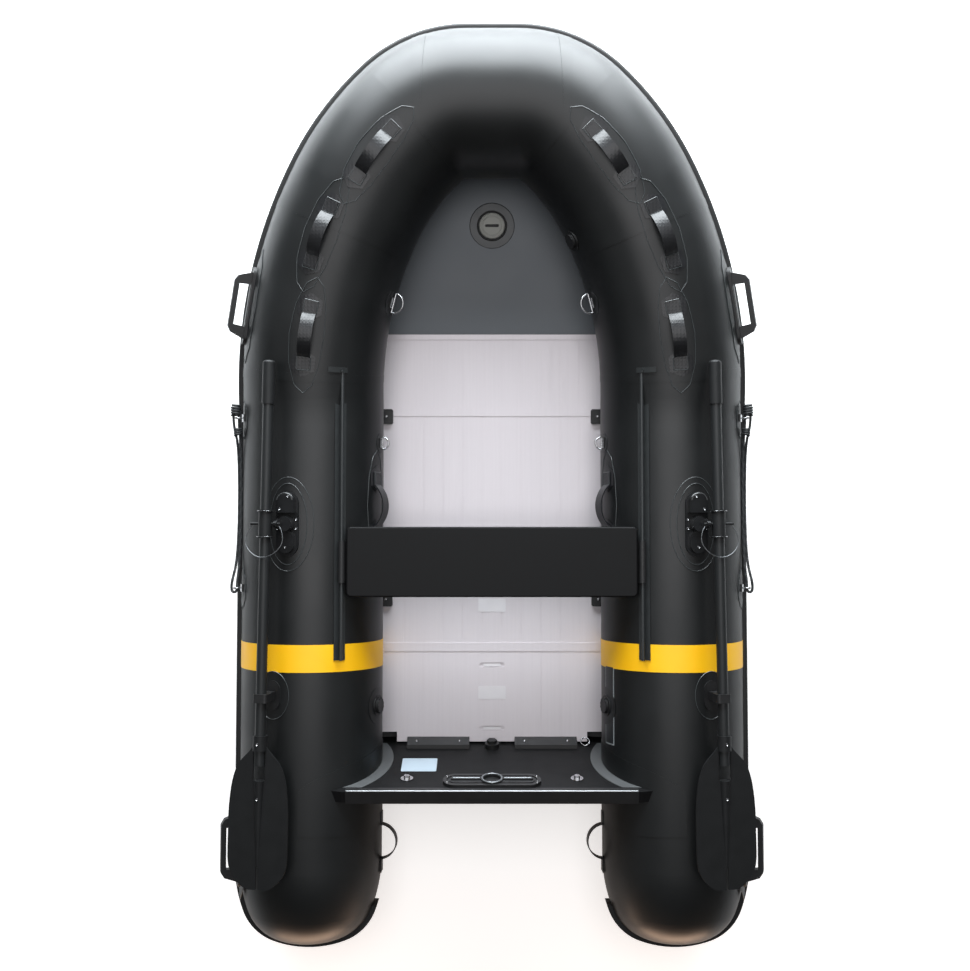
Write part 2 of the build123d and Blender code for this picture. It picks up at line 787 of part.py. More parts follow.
with BuildPart() as starboard_oarlock_base:
    with BuildSketch(lock_plane.offset(-6)):
        SlotOverall(184, 66, rotation=90)
    extrude(amount=12)
    with BuildSketch(lock_plane.offset(5)):
        with Locations((0, 50)):
            Rectangle(54, 36)
        with Locations((0, 64)):
            SlotOverall(54.01, 54, rotation=90)
    extrude(amount=21)
    fillet(starboard_oarlock_base.edges().filter_by(GeomType.CIRCLE).sort_by(
        Axis(lock_base, lock_n))[-1], 7)
    with BuildSketch(lock_plane.offset(5)):
        Circle(23)
    extrude(amount=boss_top - 5)
    with BuildSketch(lock_plane.offset(5)):
        with Locations((0, -50)):
            SlotOverall(66, 46, rotation=90)
    extrude(amount=13)
    with BuildSketch(lock_plane.offset(boss_top - 18)):
        Circle(swivel_bore)
    extrude(amount=20, mode=Mode.SUBTRACT)
    add(starboard_chamber.part, mode=Mode.SUBTRACT)
    add(bow_chamber.part, mode=Mode.SUBTRACT)
finish(starboard_oarlock_base, "starboard_oarlock_base")

with BuildPart() as port_oarlock_base:
    add(mirror(starboard_oarlock_base.part, about=Plane.YZ))
finish(port_oarlock_base, "port_oarlock_base")

toe = radians(oar_toe)
oar_mid = lock_base + lock_n * oar_rise + lock_t * oar_offset
oar_fwd = Vector(0, 1, 0) * cos(toe) - lock_t * sin(toe)
oar_side = lock_t * cos(toe) + Vector(0, 1, 0) * sin(toe)

# ---- swivel: a disc on the boss, with an eye for the collar's cross pin ----
pin_d = 8.0
pin_half = 44.0
eye_top = oar_rise + 9.0
eye_x = 14.0

with BuildPart() as starboard_oarlock_swivel:
    with BuildSketch(lock_plane.offset(boss_top - 17)):
        Circle(swivel_pin)
    extrude(amount=17 + gap + 1)
    with BuildSketch(lock_plane.offset(boss_top + gap)):
        Circle(21)
    extrude(amount=7)
    with BuildSketch(Plane(origin=oar_mid, x_dir=oar_fwd, z_dir=oar_side).offset(eye_x - oar_offset - 5)):
        with BuildLine():
            Polyline((-14, boss_top + 3 - oar_rise), (14, boss_top + 3 - oar_rise), (9, 0), (-9, 0),
                     close=True)
        make_face()
        Circle(9)
        Circle(pin_d / 2 + 0.15, mode=Mode.SUBTRACT)
    extrude(amount=10)
    with BuildSketch(Plane(origin=oar_mid, x_dir=oar_fwd, z_dir=oar_side).offset(-oar_offset - 20)):
        Circle(pin_d / 2 + 0.15)
    extrude(amount=40, mode=Mode.SUBTRACT)
finish(starboard_oarlock_swivel, "starboard_oarlock_swivel")

with BuildPart() as port_oarlock_swivel:
    add(mirror(starboard_oarlock_swivel.part, about=Plane.YZ))
finish(port_oarlock_swivel, "port_oarlock_swivel")

# ---- oar: collar with cross pin, shaft, grip and a spined blade ----
oar_cross = Plane(origin=oar_mid, x_dir=oar_side, z_dir=oar_fwd)     # section across the shaft
oar_flat = Plane(origin=oar_mid, x_dir=oar_side, z_dir=lock_n)       # the blade's plane
handle_end = 462.0
grip_len = 124.0
blade_start = 612.0
blade_end = 1014.0
socket_start = 590.0
blade_w = 176.0
collar_len = 78.0
collar_d = 46.0

with BuildPart() as starboard_oar_collar:
    with BuildSketch(oar_cross.offset(-collar_len / 2)):
        Circle(collar_d / 2 - 4)
        Circle(oar_shaft_d / 2, mode=Mode.SUBTRACT)
    extrude(amount=collar_len)
    for end in (-collar_len / 2, collar_len / 2 - 5):
        with BuildSketch(oar_cross.offset(end)):
            Circle(collar_d / 2)
            Circle(oar_shaft_d / 2, mode=Mode.SUBTRACT)
        extrude(amount=5)
    with BuildSketch(Plane(origin=oar_mid, x_dir=oar_fwd, z_dir=oar_side).offset(-pin_half)):
        Circle(pin_d / 2)
    extrude(amount=2 * pin_half)
    with BuildSketch(oar_cross.offset(-collar_len / 2)):
        Circle(oar_shaft_d / 2)
    extrude(amount=collar_len, mode=Mode.SUBTRACT)
finish(starboard_oar_collar, "starboard_oar_collar")

with BuildPart() as starboard_oar_shaft:
    with BuildSketch(oar_cross.offset(handle_end - 60)):
        Circle(oar_shaft_d / 2)
    extrude(amount=-(handle_end - 60 + blade_start + 60))
finish(starboard_oar_shaft, "starboard_oar_shaft")

with BuildPart() as starboard_oar_grip:
    with BuildSketch(oar_cross.offset(handle_end)):
        Circle(oar_shaft_d / 2 + 3)
    extrude(amount=-grip_len)
    fillet(starboard_oar_grip.edges().filter_by(GeomType.CIRCLE).sort_by(Axis(oar_mid, oar_fwd))[-1], 8)
    with BuildSketch(oar_cross.offset(handle_end - 60)):
        Circle(oar_shaft_d / 2)
    extrude(amount=-grip_len, mode=Mode.SUBTRACT)
finish(starboard_oar_grip, "starboard_oar_grip")

with BuildPart() as starboard_oar_blade:
    with BuildSketch(oar_flat.offset(-2.5)):
        with BuildLine():
            l1 = Line((14, -blade_start + 4), (20, -blade_start - 8))
            l2 = Spline(
                (20, -blade_start - 8), (58, -blade_start - 52), (blade_w / 2 - 3, -blade_start - 150),
                (blade_w / 2, -blade_end + 110), tangents=((0.6, -1), (0, -1)),
            )
            l3 = Spline(
                (blade_w / 2, -blade_end + 110), (blade_w / 2 - 14, -blade_end + 38), (34, -blade_end + 2),
                (0, -blade_end), tangents=((0, -1), (-1, 0)),
            )
            l4 = Line((0, -blade_end), (0, -blade_start + 4))
            l5 = Line((0, -blade_start + 4), (14, -blade_start + 4))
        make_face()
        mirror(about=Plane.YZ)
    extrude(amount=5)
    with BuildSketch(oar_cross.offset(-socket_start)):
        Circle(oar_shaft_d / 2 + 5)
    extrude(amount=-42)
    with BuildSketch(oar_cross.offset(-socket_start - 42)) as root_ring:
        Circle(oar_shaft_d / 2 + 3)
    with BuildSketch(oar_cross.offset(-blade_end + 64)) as tip_ring:
        Ellipse(5, 3.4)
    loft([root_ring.sketch, tip_ring.sketch])
    with BuildSketch(oar_cross.offset(-socket_start)):
        Circle(oar_shaft_d / 2)
    extrude(amount=-(blade_start + 60 - socket_start), mode=Mode.SUBTRACT)
finish(starboard_oar_blade, "starboard_oar_blade")

for name, piece in (
    ("port_oar_collar", starboard_oar_collar), ("port_oar_shaft", starboard_oar_shaft),
    ("port_oar_grip", starboard_oar_grip), ("port_oar_blade", starboard_oar_blade),
):
    with BuildPart() as port_piece:
        add(mirror(piece.part, about=Plane.YZ))
    finish(port_piece, name)


# ---- fittings on the tubes ----
patch_t = 1.6


def tube_skin(run, radius):
    """The tube near one run, grown to a radius: a whole torus, or a cylinder for the side tube."""
    with BuildPart() as body:
        if run is None:
            with BuildSketch(Plane.XZ.offset(-joint_y - 300)) as section:
                with Locations((tube_x, r)):
                    Circle(radius)
            extrude(section.sketch, amount=joint_y + 300 - cone_y + 60)
        else:
            axis = bow_runs[run][6]
            bend = bow_lift_radius if run == 4 else bow_radii[run - 1]
            with Locations(Plane(origin=axis.position, z_dir=axis.direction)):
                Torus(bend, radius)
    return body.part


def site(run, where, roll):
    """A place on the starboard tube: its run, its frame, and the skin solids it is cut to."""
    frame = side_frame(where, roll) if run is None else frame_at(run, where, roll)
    return frame, tube_skin(run, r + gap), tube_skin(run, r + patch_t)


def skin_at(y, roll):
    """A place by its distance along the boat, on the side tube or on the lift bend ahead of it."""
    if y <= joint_y:
        return site(None, y, roll)
    rise = degrees(asin((y - joint_y) / bow_lift_radius))
    return site(4, 1 - rise / bow_tilt, roll)


strap_w = 38.0
strap_t = 3.0
strap_len = 196.0
strap_arch = 27.0
tab = 36.0


def strap_with_patches(place, length=strap_len, pad_r=40.0, arch=strap_arch, width=strap_w):
    """A webbing handle: an arched strap with flat end tabs, on two six-sided patches."""
    frame, under, over = place
    half = length / 2
    knee = half - tab
    side_view = Plane(origin=frame.origin + frame.z_dir * 1.2, x_dir=frame.x_dir, z_dir=frame.y_dir * -1)
    with BuildPart() as pads:
        with BuildSketch(frame.offset(-30)):
            with Locations((-half + tab / 2, 0), (half - tab / 2, 0)):
                RegularPolygon(pad_r, 6)
        extrude(amount=60)
        add(over, mode=Mode.INTERSECT)
    with BuildPart() as one:
        with BuildSketch(side_view.offset(-width / 2)):
            with BuildLine():
                Line((-half, strap_t), (-knee, strap_t))
                ThreePointArc((-knee, strap_t), (0, arch + strap_t), (knee, strap_t))
                Polyline((knee, strap_t), (half, strap_t), (half, -2), (knee, -2))
                Line((knee, -2), (knee - 3, 0))
                ThreePointArc((knee - 3, 0), (0, arch), (-knee + 3, 0))
                Polyline((-knee + 3, 0), (-knee, -2), (-half, -2), (-half, strap_t))
            make_face()
        extrude(amount=width)
        add(pads.part)
        add(under, mode=Mode.SUBTRACT)
    return one.part


with BuildPart() as starboard_bow_strap_handles:
    add(strap_with_patches(site(2, 0.55, 0)))
    add(strap_with_patches(site(3, 0.24, 8)))
    add(strap_with_patches(site(3, 0.70, 0)))
finish(starboard_bow_strap_handles, "starboard_bow_strap_handles")

with BuildPart() as port_bow_strap_handles:
    add(mirror(starboard_bow_strap_handles.part, about=Plane.YZ))
finish(port_bow_strap_handles, "port_bow_strap_handles")

with BuildPart() as inner_strap_handles:
    add(strap_with_patches(site(None, -50.0, -70)))
    add(bow_chamber.part, mode=Mode.SUBTRACT)
    mirror(about=Plane.YZ)
finish(inner_strap_handles, "inner_strap_handles")

with BuildPart() as stern_straps:
    add(strap_with_patches(site(None, cone_y + 49.0, -86), length=176.0, pad_r=26.0, arch=44.0, width=25.0))
    mirror(about=Plane.YZ)
finish(stern_straps, "stern_straps")

# ---- moulded lift handles on the outer shoulders ----
lift_len = 196.0
lift_stand = 55.0
lift_bar = 15.0


def lift_handle(place):
    """A moulded handle: two feet on a base plate, and a straight bar between them."""
    frame, under, over = place
    half = lift_len / 2
    side_view = Plane(origin=frame.origin, x_dir=frame.x_dir, z_dir=frame.y_dir * -1)
    with BuildPart() as one:
        with BuildSketch(side_view.offset(-13)):
            with BuildLine():
                Polyline(
                    (-half, 1), (-half, 8), (-half + 14, lift_stand - 10), (-half + 30, lift_stand),
                    (half - 30, lift_stand), (half - 14, lift_stand - 10), (half, 8), (half, 1), close=True,
                )
            outer = make_face()
            fillet(outer.vertices().filter_by(lambda v: (Vector(v) - frame.origin).dot(frame.z_dir) > 20), 11)
            with BuildLine():
                Polyline(
                    (-half + 36, 8), (-half + 38, lift_stand - lift_bar), (half - 38, lift_stand - lift_bar),
                    (half - 36, 8), close=True,
                )
            make_face(mode=Mode.SUBTRACT)
        extrude(amount=26)
        with BuildSketch(frame.offset(-12)):
            SlotOverall(lift_len + 34, 48)
        extrude(amount=18)
        add(under, mode=Mode.SUBTRACT)
    return one.part


with BuildPart() as starboard_lift_handles:
    add(lift_handle(site(3, 0.62, 72)))
    add(lift_handle(site(None, cone_y + 44.0, 72)))
    add(starboard_stern_cone.part, mode=Mode.SUBTRACT)
finish(starboard_lift_handles, "starboard_lift_handles")

with BuildPart() as port_lift_handles:
    add(mirror(starboard_lift_handles.part, about=Plane.YZ))
finish(port_lift_handles, "port_lift_handles")


# ---- rings on round patches ----
def ring_on_patch(place, patch_r=34.0, ring_r=13.0, wire=2.5):
    """A metal ring above a webbing tab on a round patch."""
    frame, under, over = place
    with BuildPart() as one:
        with BuildSketch(frame.offset(-30)):
            Circle(patch_r)
        extrude(amount=60)
        add(over, mode=Mode.INTERSECT)
        with BuildSketch(frame.offset(-10)):
            Rectangle(22, 30)
        extrude(amount=10 + 5)
        add(under, mode=Mode.SUBTRACT)
    hub = frame.origin + frame.z_dir * (5.2 + wire + ring_r)
    with BuildPart() as ring:
        with Locations(Plane(origin=hub, x_dir=frame.y_dir, z_dir=frame.x_dir)):
            Torus(ring_r, wire)
    return [one.part, ring.part]


def d_ring_on_patch(place, patch_r, ring_r, wire):
    """A D ring on its straight bar, which a webbing tab holds to a round patch."""
    frame, under, over = place
    bar = frame.origin + frame.z_dir * (5.2 + wire)
    with BuildPart() as one:
        with BuildSketch(frame.offset(-30)):
            Circle(patch_r)
        extrude(amount=60)
        add(over, mode=Mode.INTERSECT)
        with BuildSketch(frame.offset(-10)):
            Rectangle(30, 24)
        extrude(amount=10 + 5)
        add(under, mode=Mode.SUBTRACT)
    with BuildPart() as ring:
        with BuildSketch(Plane(origin=bar + frame.x_dir * ring_r, x_dir=frame.x_dir, z_dir=frame.z_dir)):
            Circle(wire)
        revolve(axis=Axis(bar, frame.y_dir * -1), revolution_arc=180)
        with BuildSketch(Plane(origin=bar - frame.x_dir * ring_r, z_dir=frame.x_dir)):
            Circle(wire)
        extrude(amount=2 * ring_r)
        with Locations(bar - frame.x_dir * ring_r, bar + frame.x_dir * ring_r):
            Sphere(wire)
    return [one.part, ring.part]


with BuildPart() as cockpit_d_rings:
    add(d_ring_on_patch(site(3, 0.45, -76), patch_r=38.0, ring_r=29.0, wire=2.8))
    add(d_ring_on_patch(skin_at(joint_y - 43.6, -78), patch_r=30.0, ring_r=18.0, wire=2.4))
    mirror(about=Plane.YZ)
finish(cockpit_d_rings, "cockpit_d_rings")

front_eye = skin_at(215.0, 70)
back_eye = skin_at(-293.0, 70)
eye_r = 9.0
eye_wire = 2.5

with BuildPart() as rope_eyes:
    add(ring_on_patch(front_eye, patch_r=26.0, ring_r=eye_r, wire=eye_wire))
    add(ring_on_patch(back_eye, patch_r=26.0, ring_r=eye_r, wire=eye_wire))
    mirror(about=Plane.YZ)
finish(rope_eyes, "rope_eyes")

with BuildPart() as bow_tow_rings:
    add(ring_on_patch(site(1, 0.35, 128), patch_r=44.0, ring_r=17.0, wire=3.0))
    mirror(about=Plane.YZ)
finish(bow_tow_rings, "bow_tow_rings")

# ---- oar clips: a stalk on the tube, and a U open outboard that holds the stowed shaft ----
clip_back = 486.0
clip_w = 24.0
clip_mid = oar_mid - oar_fwd * clip_back

with BuildPart() as oar_clips:
    with BuildSketch(Plane(origin=clip_mid, x_dir=oar_side, z_dir=oar_fwd * -1).offset(-clip_w / 2)):
        with Locations((-3, 0)):
            RectangleRounded(42, 42, 9)
        with Locations((-6, -44)):
            Rectangle(26, 52)
        with Locations((0, 0)):
            Circle(oar_shaft_d / 2 + 0.6, mode=Mode.SUBTRACT)
        with Locations((20, 0)):
            Rectangle(40, oar_shaft_d + 1.2, mode=Mode.SUBTRACT)
    extrude(amount=clip_w)
    foot_roll = degrees(asin((clip_mid.X - 6 * cos(lock_roll) - tube_x) / (r + 40)))
    foot, foot_under, foot_over = site(None, clip_mid.Y, foot_roll)
    with BuildSketch(foot.offset(-8)):
        SlotOverall(84, 50)
    extrude(amount=12)
    add(foot_under, mode=Mode.SUBTRACT)
    mirror(about=Plane.YZ)
finish(oar_clips, "oar_clips")

# ---- the wire that keeps the cross pin, from end to end round the shaft ----
keeper_d = 2.8

with BuildPart() as starboard_oar_keeper:
    with BuildLine() as keeper_path:
        Spline(
            *[oar_mid + oar_side * a + oar_fwd * b + lock_n * c for a, b, c in (
                (40.5, -5.6, 0), (50, -22, 3), (55, -48, 8), (36, -80, 15), (0, -94, 18),
                (-36, -80, 15), (-55, -48, 8), (-50, -22, 3), (-40.5, -5.6, 0))],
        )
    with BuildSketch(Plane(origin=keeper_path.line @ 0, z_dir=keeper_path.line % 0)):
        Circle(keeper_d / 2)
    sweep(path=keeper_path.line)
finish(starboard_oar_keeper, "starboard_oar_keeper")

with BuildPart() as port_oar_keeper:
    add(mirror(starboard_oar_keeper.part, about=Plane.YZ))
finish(port_oar_keeper, "port_oar_keeper")

# ---- air valves: a flanged cup with a screw cap, one to each chamber ----
def air_valve(place):
    frame, under, over = place
    with BuildPart() as one:
        with BuildSketch(frame.offset(-6)):
            Circle(31)
        extrude(amount=9)
        with BuildSketch(frame.offset(2)):
            Circle(23)
        extrude(amount=9)
        with BuildSketch(frame.offset(8)):
            with PolarLocations(22, 12):
                Circle(2.2, mode=Mode.ADD)
        extrude(amount=3, mode=Mode.SUBTRACT)
        add(under, mode=Mode.SUBTRACT)
    return one.part


with BuildPart() as air_valves:
    add(air_valve(site(None, transom_foot_y + 120.0, -74)))
    mirror(about=Plane.YZ)
    add(air_valve(site(3, 0.08, -72)))
finish(air_valves, "air_valves")

# ---- grab ropes: from a knot through the front eye to the back eye, round it and home again ----
rope_d = 8.0
rope_home = 16.0         # the returning line runs this far outside the first one at each eye
rope_hang = 24.0         # sag below the eyes at mid span, where it lies on the tube's shoulder
rope_out = tube_x + r - 2.0
rope_apart = 9.0


def eye_hub(place):
    return place[0].origin + place[0].z_dir * (5.2 + eye_wire + eye_r)


def rope_route():
    """The rope's corner points, from the knot aft along the first line and back along the second."""
    front = eye_hub(front_eye)
    back = eye_hub(back_eye)
    home_front = front + front_eye[0].z_dir * rope_home
    home_back = back + back_eye[0].z_dir * rope_home
    middle = (front.Y + back.Y) / 2
    low = back.Z - rope_hang
    first = [
        front + Vector(0, 30, 0),
        front + Vector(0, -17, 0),
        Vector(rope_out + 2, front.Y - 58, low + 13),
        Vector(rope_out + 1, front.Y - 112, low + 4),
        Vector(rope_out, middle + 58, low),
        Vector(rope_out, middle - 58, low - 0.6),
        Vector(rope_out + 1, back.Y + 112, low + 4),
        Vector(rope_out + 2, back.Y + 58, low + 13),
        back + Vector(0, 17, 0),
        back + Vector(0, -12, 0),
    ]
    far = rope_out + rope_apart
    second = [
        home_back + Vector(0, -12, 0),
        home_back + Vector(0, 17, 0),
        Vector(far + 3, back.Y + 61, low + 12),
        Vector(far + 1, back.Y + 115, low - 3),
        Vector(far, middle - 55, low - 11),
        Vector(far, middle + 53, low - 10.4),
        Vector(far + 1, front.Y - 114, low - 3),
        Vector(far + 3, front.Y - 60, low + 12),
        home_front + Vector(0, -17, 0),
        home_front + Vector(0, 30, 0),
    ]
    return first + second


def corner_radii(points):
    """Each corner's arc uses 0.45 of its shorter run."""
    radii = []
    for before, corner, after in zip(points, points[1:], points[2:]):
        half_turn = radians((corner - before).get_angle(after - corner)) / 2
        radii.append(0.45 * min((corner - before).length, (after - corner).length) / tan(half_turn))
    return radii


route = rope_route()
print("grab rope corner radii, mm:", [round(radius, 1) for radius in corner_radii(route)])

with BuildPart() as starboard_grab_rope:
    with BuildLine() as rope_line:
        rope_path = FilletPolyline(*route, radius=corner_radii(route))
    with BuildSketch(Plane(origin=rope_path @ 0, z_dir=rope_path % 0)):
        Circle(rope_d / 2)
    sweep(path=rope_path)
finish(starboard_grab_rope, "starboard_grab_rope")
rope_volume = pi * rope_d**2 / 4 * rope_path.length
print("grab rope length, mm:", round(rope_path.length, 1))
print("grab rope volume over section by length:", round(starboard_grab_rope.part.volume / rope_volume, 4))

with BuildPart() as port_grab_rope:
    add(mirror(starboard_grab_rope.part, about=Plane.YZ))
finish(port_grab_rope, "port_grab_rope")
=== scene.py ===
# %% [markdown]
# # An inflatable boat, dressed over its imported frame
# The CAD model gives every solid its place and size. This lesson gives the boat what CAD leaves out:
# coated fabric, webbing, rope, seams, screws, the coloured bands, and a plain studio to see them in.
# Every length is in metres. +X points to starboard, +Y to the bow and +Z up.

import json
from math import asin, atan2, cos, pi, radians, sin

import bmesh
import bpy
from mathutils import Matrix, Vector


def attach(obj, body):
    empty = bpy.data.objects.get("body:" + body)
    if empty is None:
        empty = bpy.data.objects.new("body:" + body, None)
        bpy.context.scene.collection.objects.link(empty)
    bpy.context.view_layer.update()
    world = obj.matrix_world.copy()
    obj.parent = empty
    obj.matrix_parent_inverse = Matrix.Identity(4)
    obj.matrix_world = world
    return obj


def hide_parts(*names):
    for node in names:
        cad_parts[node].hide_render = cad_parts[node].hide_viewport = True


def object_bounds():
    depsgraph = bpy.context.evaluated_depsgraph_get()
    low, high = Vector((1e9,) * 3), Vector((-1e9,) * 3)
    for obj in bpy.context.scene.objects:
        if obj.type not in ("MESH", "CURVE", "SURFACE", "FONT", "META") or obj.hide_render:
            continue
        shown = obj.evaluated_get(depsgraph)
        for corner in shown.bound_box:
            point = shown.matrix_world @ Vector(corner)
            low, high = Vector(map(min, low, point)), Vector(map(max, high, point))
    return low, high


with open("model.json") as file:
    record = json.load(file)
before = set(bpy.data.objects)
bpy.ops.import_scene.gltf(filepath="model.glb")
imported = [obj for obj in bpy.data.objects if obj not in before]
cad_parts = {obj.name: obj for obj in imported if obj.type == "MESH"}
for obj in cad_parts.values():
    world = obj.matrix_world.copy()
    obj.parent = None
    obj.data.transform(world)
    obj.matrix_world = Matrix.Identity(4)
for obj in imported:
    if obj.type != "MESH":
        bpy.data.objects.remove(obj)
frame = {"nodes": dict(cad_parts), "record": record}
cad_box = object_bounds()
nodes = frame["nodes"]
scene = bpy.context.scene
scene.view_settings.view_transform = "Standard"
print("nodes:", len(nodes), "box:", [tuple(round(c, 3) for c in p) for p in cad_box])

# %% [markdown]
# ## Camera
# The boat is seen from straight above its middle, about 3.7 m up, which a ladder or a boom gives in a
# studio. The lens leans a few degrees towards the bow, so the transom's slope shows as a narrow band.

# %% Camera
EYE = Vector((0.0, -0.151, 3.7))
LEAN = radians(2.7)
LENS_MM = 42.75
SHIFT = -7 / 970

camera = bpy.data.objects.new("camera", bpy.data.cameras.new("camera"))
camera.data.lens = LENS_MM
camera.data.sensor_width = 36.0
camera.data.sensor_fit = "HORIZONTAL"
camera.data.shift_x = SHIFT
camera.matrix_world = Matrix.Translation(EYE) @ Matrix.Rotation(LEAN, 4, "X")
scene.collection.objects.link(camera)
scene.camera = camera
print("camera height", EYE.z, "lens", LENS_MM)

# %% [markdown]
# ## Studio
# A pale floor takes a soft shadow. One broad lamp hangs beyond the bow and gives the raised tube its cool
# sheen, two weak ones hang beside the boat, one hangs overhead, and two low warm ones light the cones.
# The background is full white only for camera and glass rays. Other rays see it dim, so it adds little light
# to the boat.


# %% Colour and node helpers
def linear(code):
    """The linear colour of an sRGB hex code."""
    parts = [int(code[i : i + 2], 16) / 255 for i in (0, 2, 4)]
    return [c / 12.92 if c <= 0.04045 else ((c + 0.055) / 1.055) ** 2.4 for c in parts] + [1.0]


def add(tree, kind, **inputs):
    """Adds a shader node. A key in capitals sets a socket by name, any other sets a property."""
    node = tree.nodes.new("ShaderNode" + kind)
    for key, value in inputs.items():
        socket = key.replace("_", " ").title() if key.isupper() else None
        if socket is None:
            setattr(node, key, value)
        elif isinstance(value, bpy.types.NodeSocket):
            tree.links.new(value, node.inputs[socket])
        else:
            node.inputs[socket].default_value = value
    return node


# %% Floor, backdrop and lamps
def studio_paint(name, colour, lift):
    """Matt paint. Camera rays see it a little brighter, so that it is white away from the shadow."""
    paint = bpy.data.materials.new(name)
    paint.use_nodes = True
    tree = paint.node_tree
    body = tree.nodes["Principled BSDF"]
    body.inputs["Base Color"].default_value = linear(colour)
    body.inputs["Roughness"].default_value = 0.9
    body.inputs["Emission Color"].default_value = linear("FFFFFF")
    seen = add(tree, "LightPath").outputs["Is Camera Ray"]
    gain = add(tree, "MapRange", VALUE=seen, TO_MIN=0.0, TO_MAX=lift)
    tree.links.new(gain.outputs[0], body.inputs["Emission Strength"])
    return paint


def flat_plane(name, size, height, paint):
    """A square sheet at that height."""
    mesh = bmesh.new()
    bmesh.ops.create_grid(mesh, x_segments=1, y_segments=1, size=size / 2)
    bmesh.ops.translate(mesh, verts=mesh.verts, vec=(0, 0, height))
    data = bpy.data.meshes.new(name)
    mesh.to_mesh(data)
    piece = bpy.data.objects.new(name, data)
    data.materials.append(paint)
    scene.collection.objects.link(piece)
    return piece


floor = flat_plane("studio_floor", 14.0, cad_box[0].z - 0.001, studio_paint("floor_paint", "F6F6F6", 0.55))

# each lamp's place, aim, width, length, watts, spread in degrees and tint
LAMPS = {
    "bow_lamp": ((0.0, 3.15, 1.3), (0.0, 0.8, 0.7), 4.3, 2.5, 560, 180, (0.90, 0.96, 1.0)),
    "port_lamp": ((-3.2, -0.2, 2.6), (0.0, -0.2, 0.2), 3.4, 1.0, 4, 180, (1.0, 1.0, 1.0)),
    "starboard_lamp": ((3.2, -0.2, 2.6), (0.0, -0.2, 0.2), 3.4, 1.0, 4, 180, (1.0, 1.0, 1.0)),
    "port_stern_lamp": ((-0.54, -1.95, 0.16), (-0.54, -1.3, 0.26), 0.9, 0.24, 2.0, 110, (1.0, 0.66, 0.45)),
    "starboard_stern_lamp": ((0.54, -1.95, 0.16), (0.54, -1.3, 0.26), 0.9, 0.24, 2.0, 110, (1.0, 0.66, 0.45)),
    "top_lamp": ((0.0, 0.5, 4.7), (0.0, 0.2, 0.0), 3.4, 3.4, 88, 180, (1.0, 0.99, 1.0)),
}
for name, (place, aim, wide, long, watts, spread, tint) in LAMPS.items():
    lamp = bpy.data.objects.new(name, bpy.data.lights.new(name, "AREA"))
    lamp.data.shape = "RECTANGLE"
    lamp.data.size = wide
    lamp.data.size_y = long
    lamp.data.energy = watts
    lamp.data.spread = radians(spread)
    lamp.data.color = tint
    lamp.location = place
    lamp.rotation_euler = (Vector(aim) - Vector(place)).to_track_quat("-Z", "Y").to_euler()
    scene.collection.objects.link(lamp)

AIR_LIGHT = 0.10
world = bpy.data.worlds.new("studio_air")
scene.world = world
world.use_nodes = True
air = world.node_tree
rays = add(air, "LightPath")
seen = add(air, "Math", operation="MAXIMUM")
air.links.new(rays.outputs["Is Camera Ray"], seen.inputs[0])
air.links.new(rays.outputs["Is Transmission Ray"], seen.inputs[1])
backing = air.nodes["Background"]
backing.inputs["Color"].default_value = linear("FFFFFF")
strength = add(air, "MapRange")
air.links.new(seen.outputs[0], strength.inputs["Value"])
strength.inputs["To Min"].default_value = AIR_LIGHT
air.links.new(strength.outputs[0], backing.inputs["Strength"])
print("lamps:", ", ".join(LAMPS))

# %% [markdown]
# ## Materials
# Each finish is named after the real one: coated PVC cloth, moulded nylon, anodised aluminium, painted
# board, polyester webbing, stainless wire and braided rope. Pattern sizes are real: the cloth's grain is
# just under a millimetre, and the aluminium's brushed lines run fore and aft.


# %% Base materials
def finish(name, low, high, size_mm, roughness=(0.35, 0.5), stretch=(1, 1, 1), metallic=0.0, specular=0.5):
    """A Principled material whose colour and gloss change slowly over about that size.

    Stretch below 1 draws the changes out along that axis.
    """
    paint = bpy.data.materials.new(name)
    paint.use_nodes = True
    tree = paint.node_tree
    body = tree.nodes["Principled BSDF"]
    body.inputs["Metallic"].default_value = metallic
    body.inputs["Specular IOR Level"].default_value = specular
    place = add(tree, "TexCoord").outputs["Object"]
    drawn = add(tree, "Mapping", VECTOR=place, SCALE=stretch)
    noise = add(tree, "TexNoise", VECTOR=drawn.outputs[0], SCALE=1000 / size_mm, DETAIL=4.0)
    shade = add(tree, "Mix", data_type="RGBA")
    tree.links.new(noise.outputs["Fac"], shade.inputs[0])
    shade.inputs[6].default_value = linear(low)
    shade.inputs[7].default_value = linear(high)
    tree.links.new(shade.outputs[2], body.inputs["Base Color"])
    gloss = add(tree, "MapRange", VALUE=noise.outputs["Fac"], TO_MIN=roughness[0], TO_MAX=roughness[1])
    tree.links.new(gloss.outputs[0], body.inputs["Roughness"])
    return paint


def grain(paint, size_mm, depth_mm, stretch=(1, 1, 1)):
    """A fine relief of that size and depth: cloth threads, moulded grain or brushed lines."""
    tree = paint.node_tree
    place = add(tree, "TexCoord").outputs["Object"]
    drawn = add(tree, "Mapping", VECTOR=place, SCALE=stretch)
    noise = add(tree, "TexNoise", VECTOR=drawn.outputs[0], SCALE=1000 / size_mm, DETAIL=2.0)
    bump = add(tree, "Bump", HEIGHT=noise.outputs["Fac"], STRENGTH=0.6, DISTANCE=depth_mm / 1000)
    tree.links.new(bump.outputs["Normal"], tree.nodes["Principled BSDF"].inputs["Normal"])
    return paint


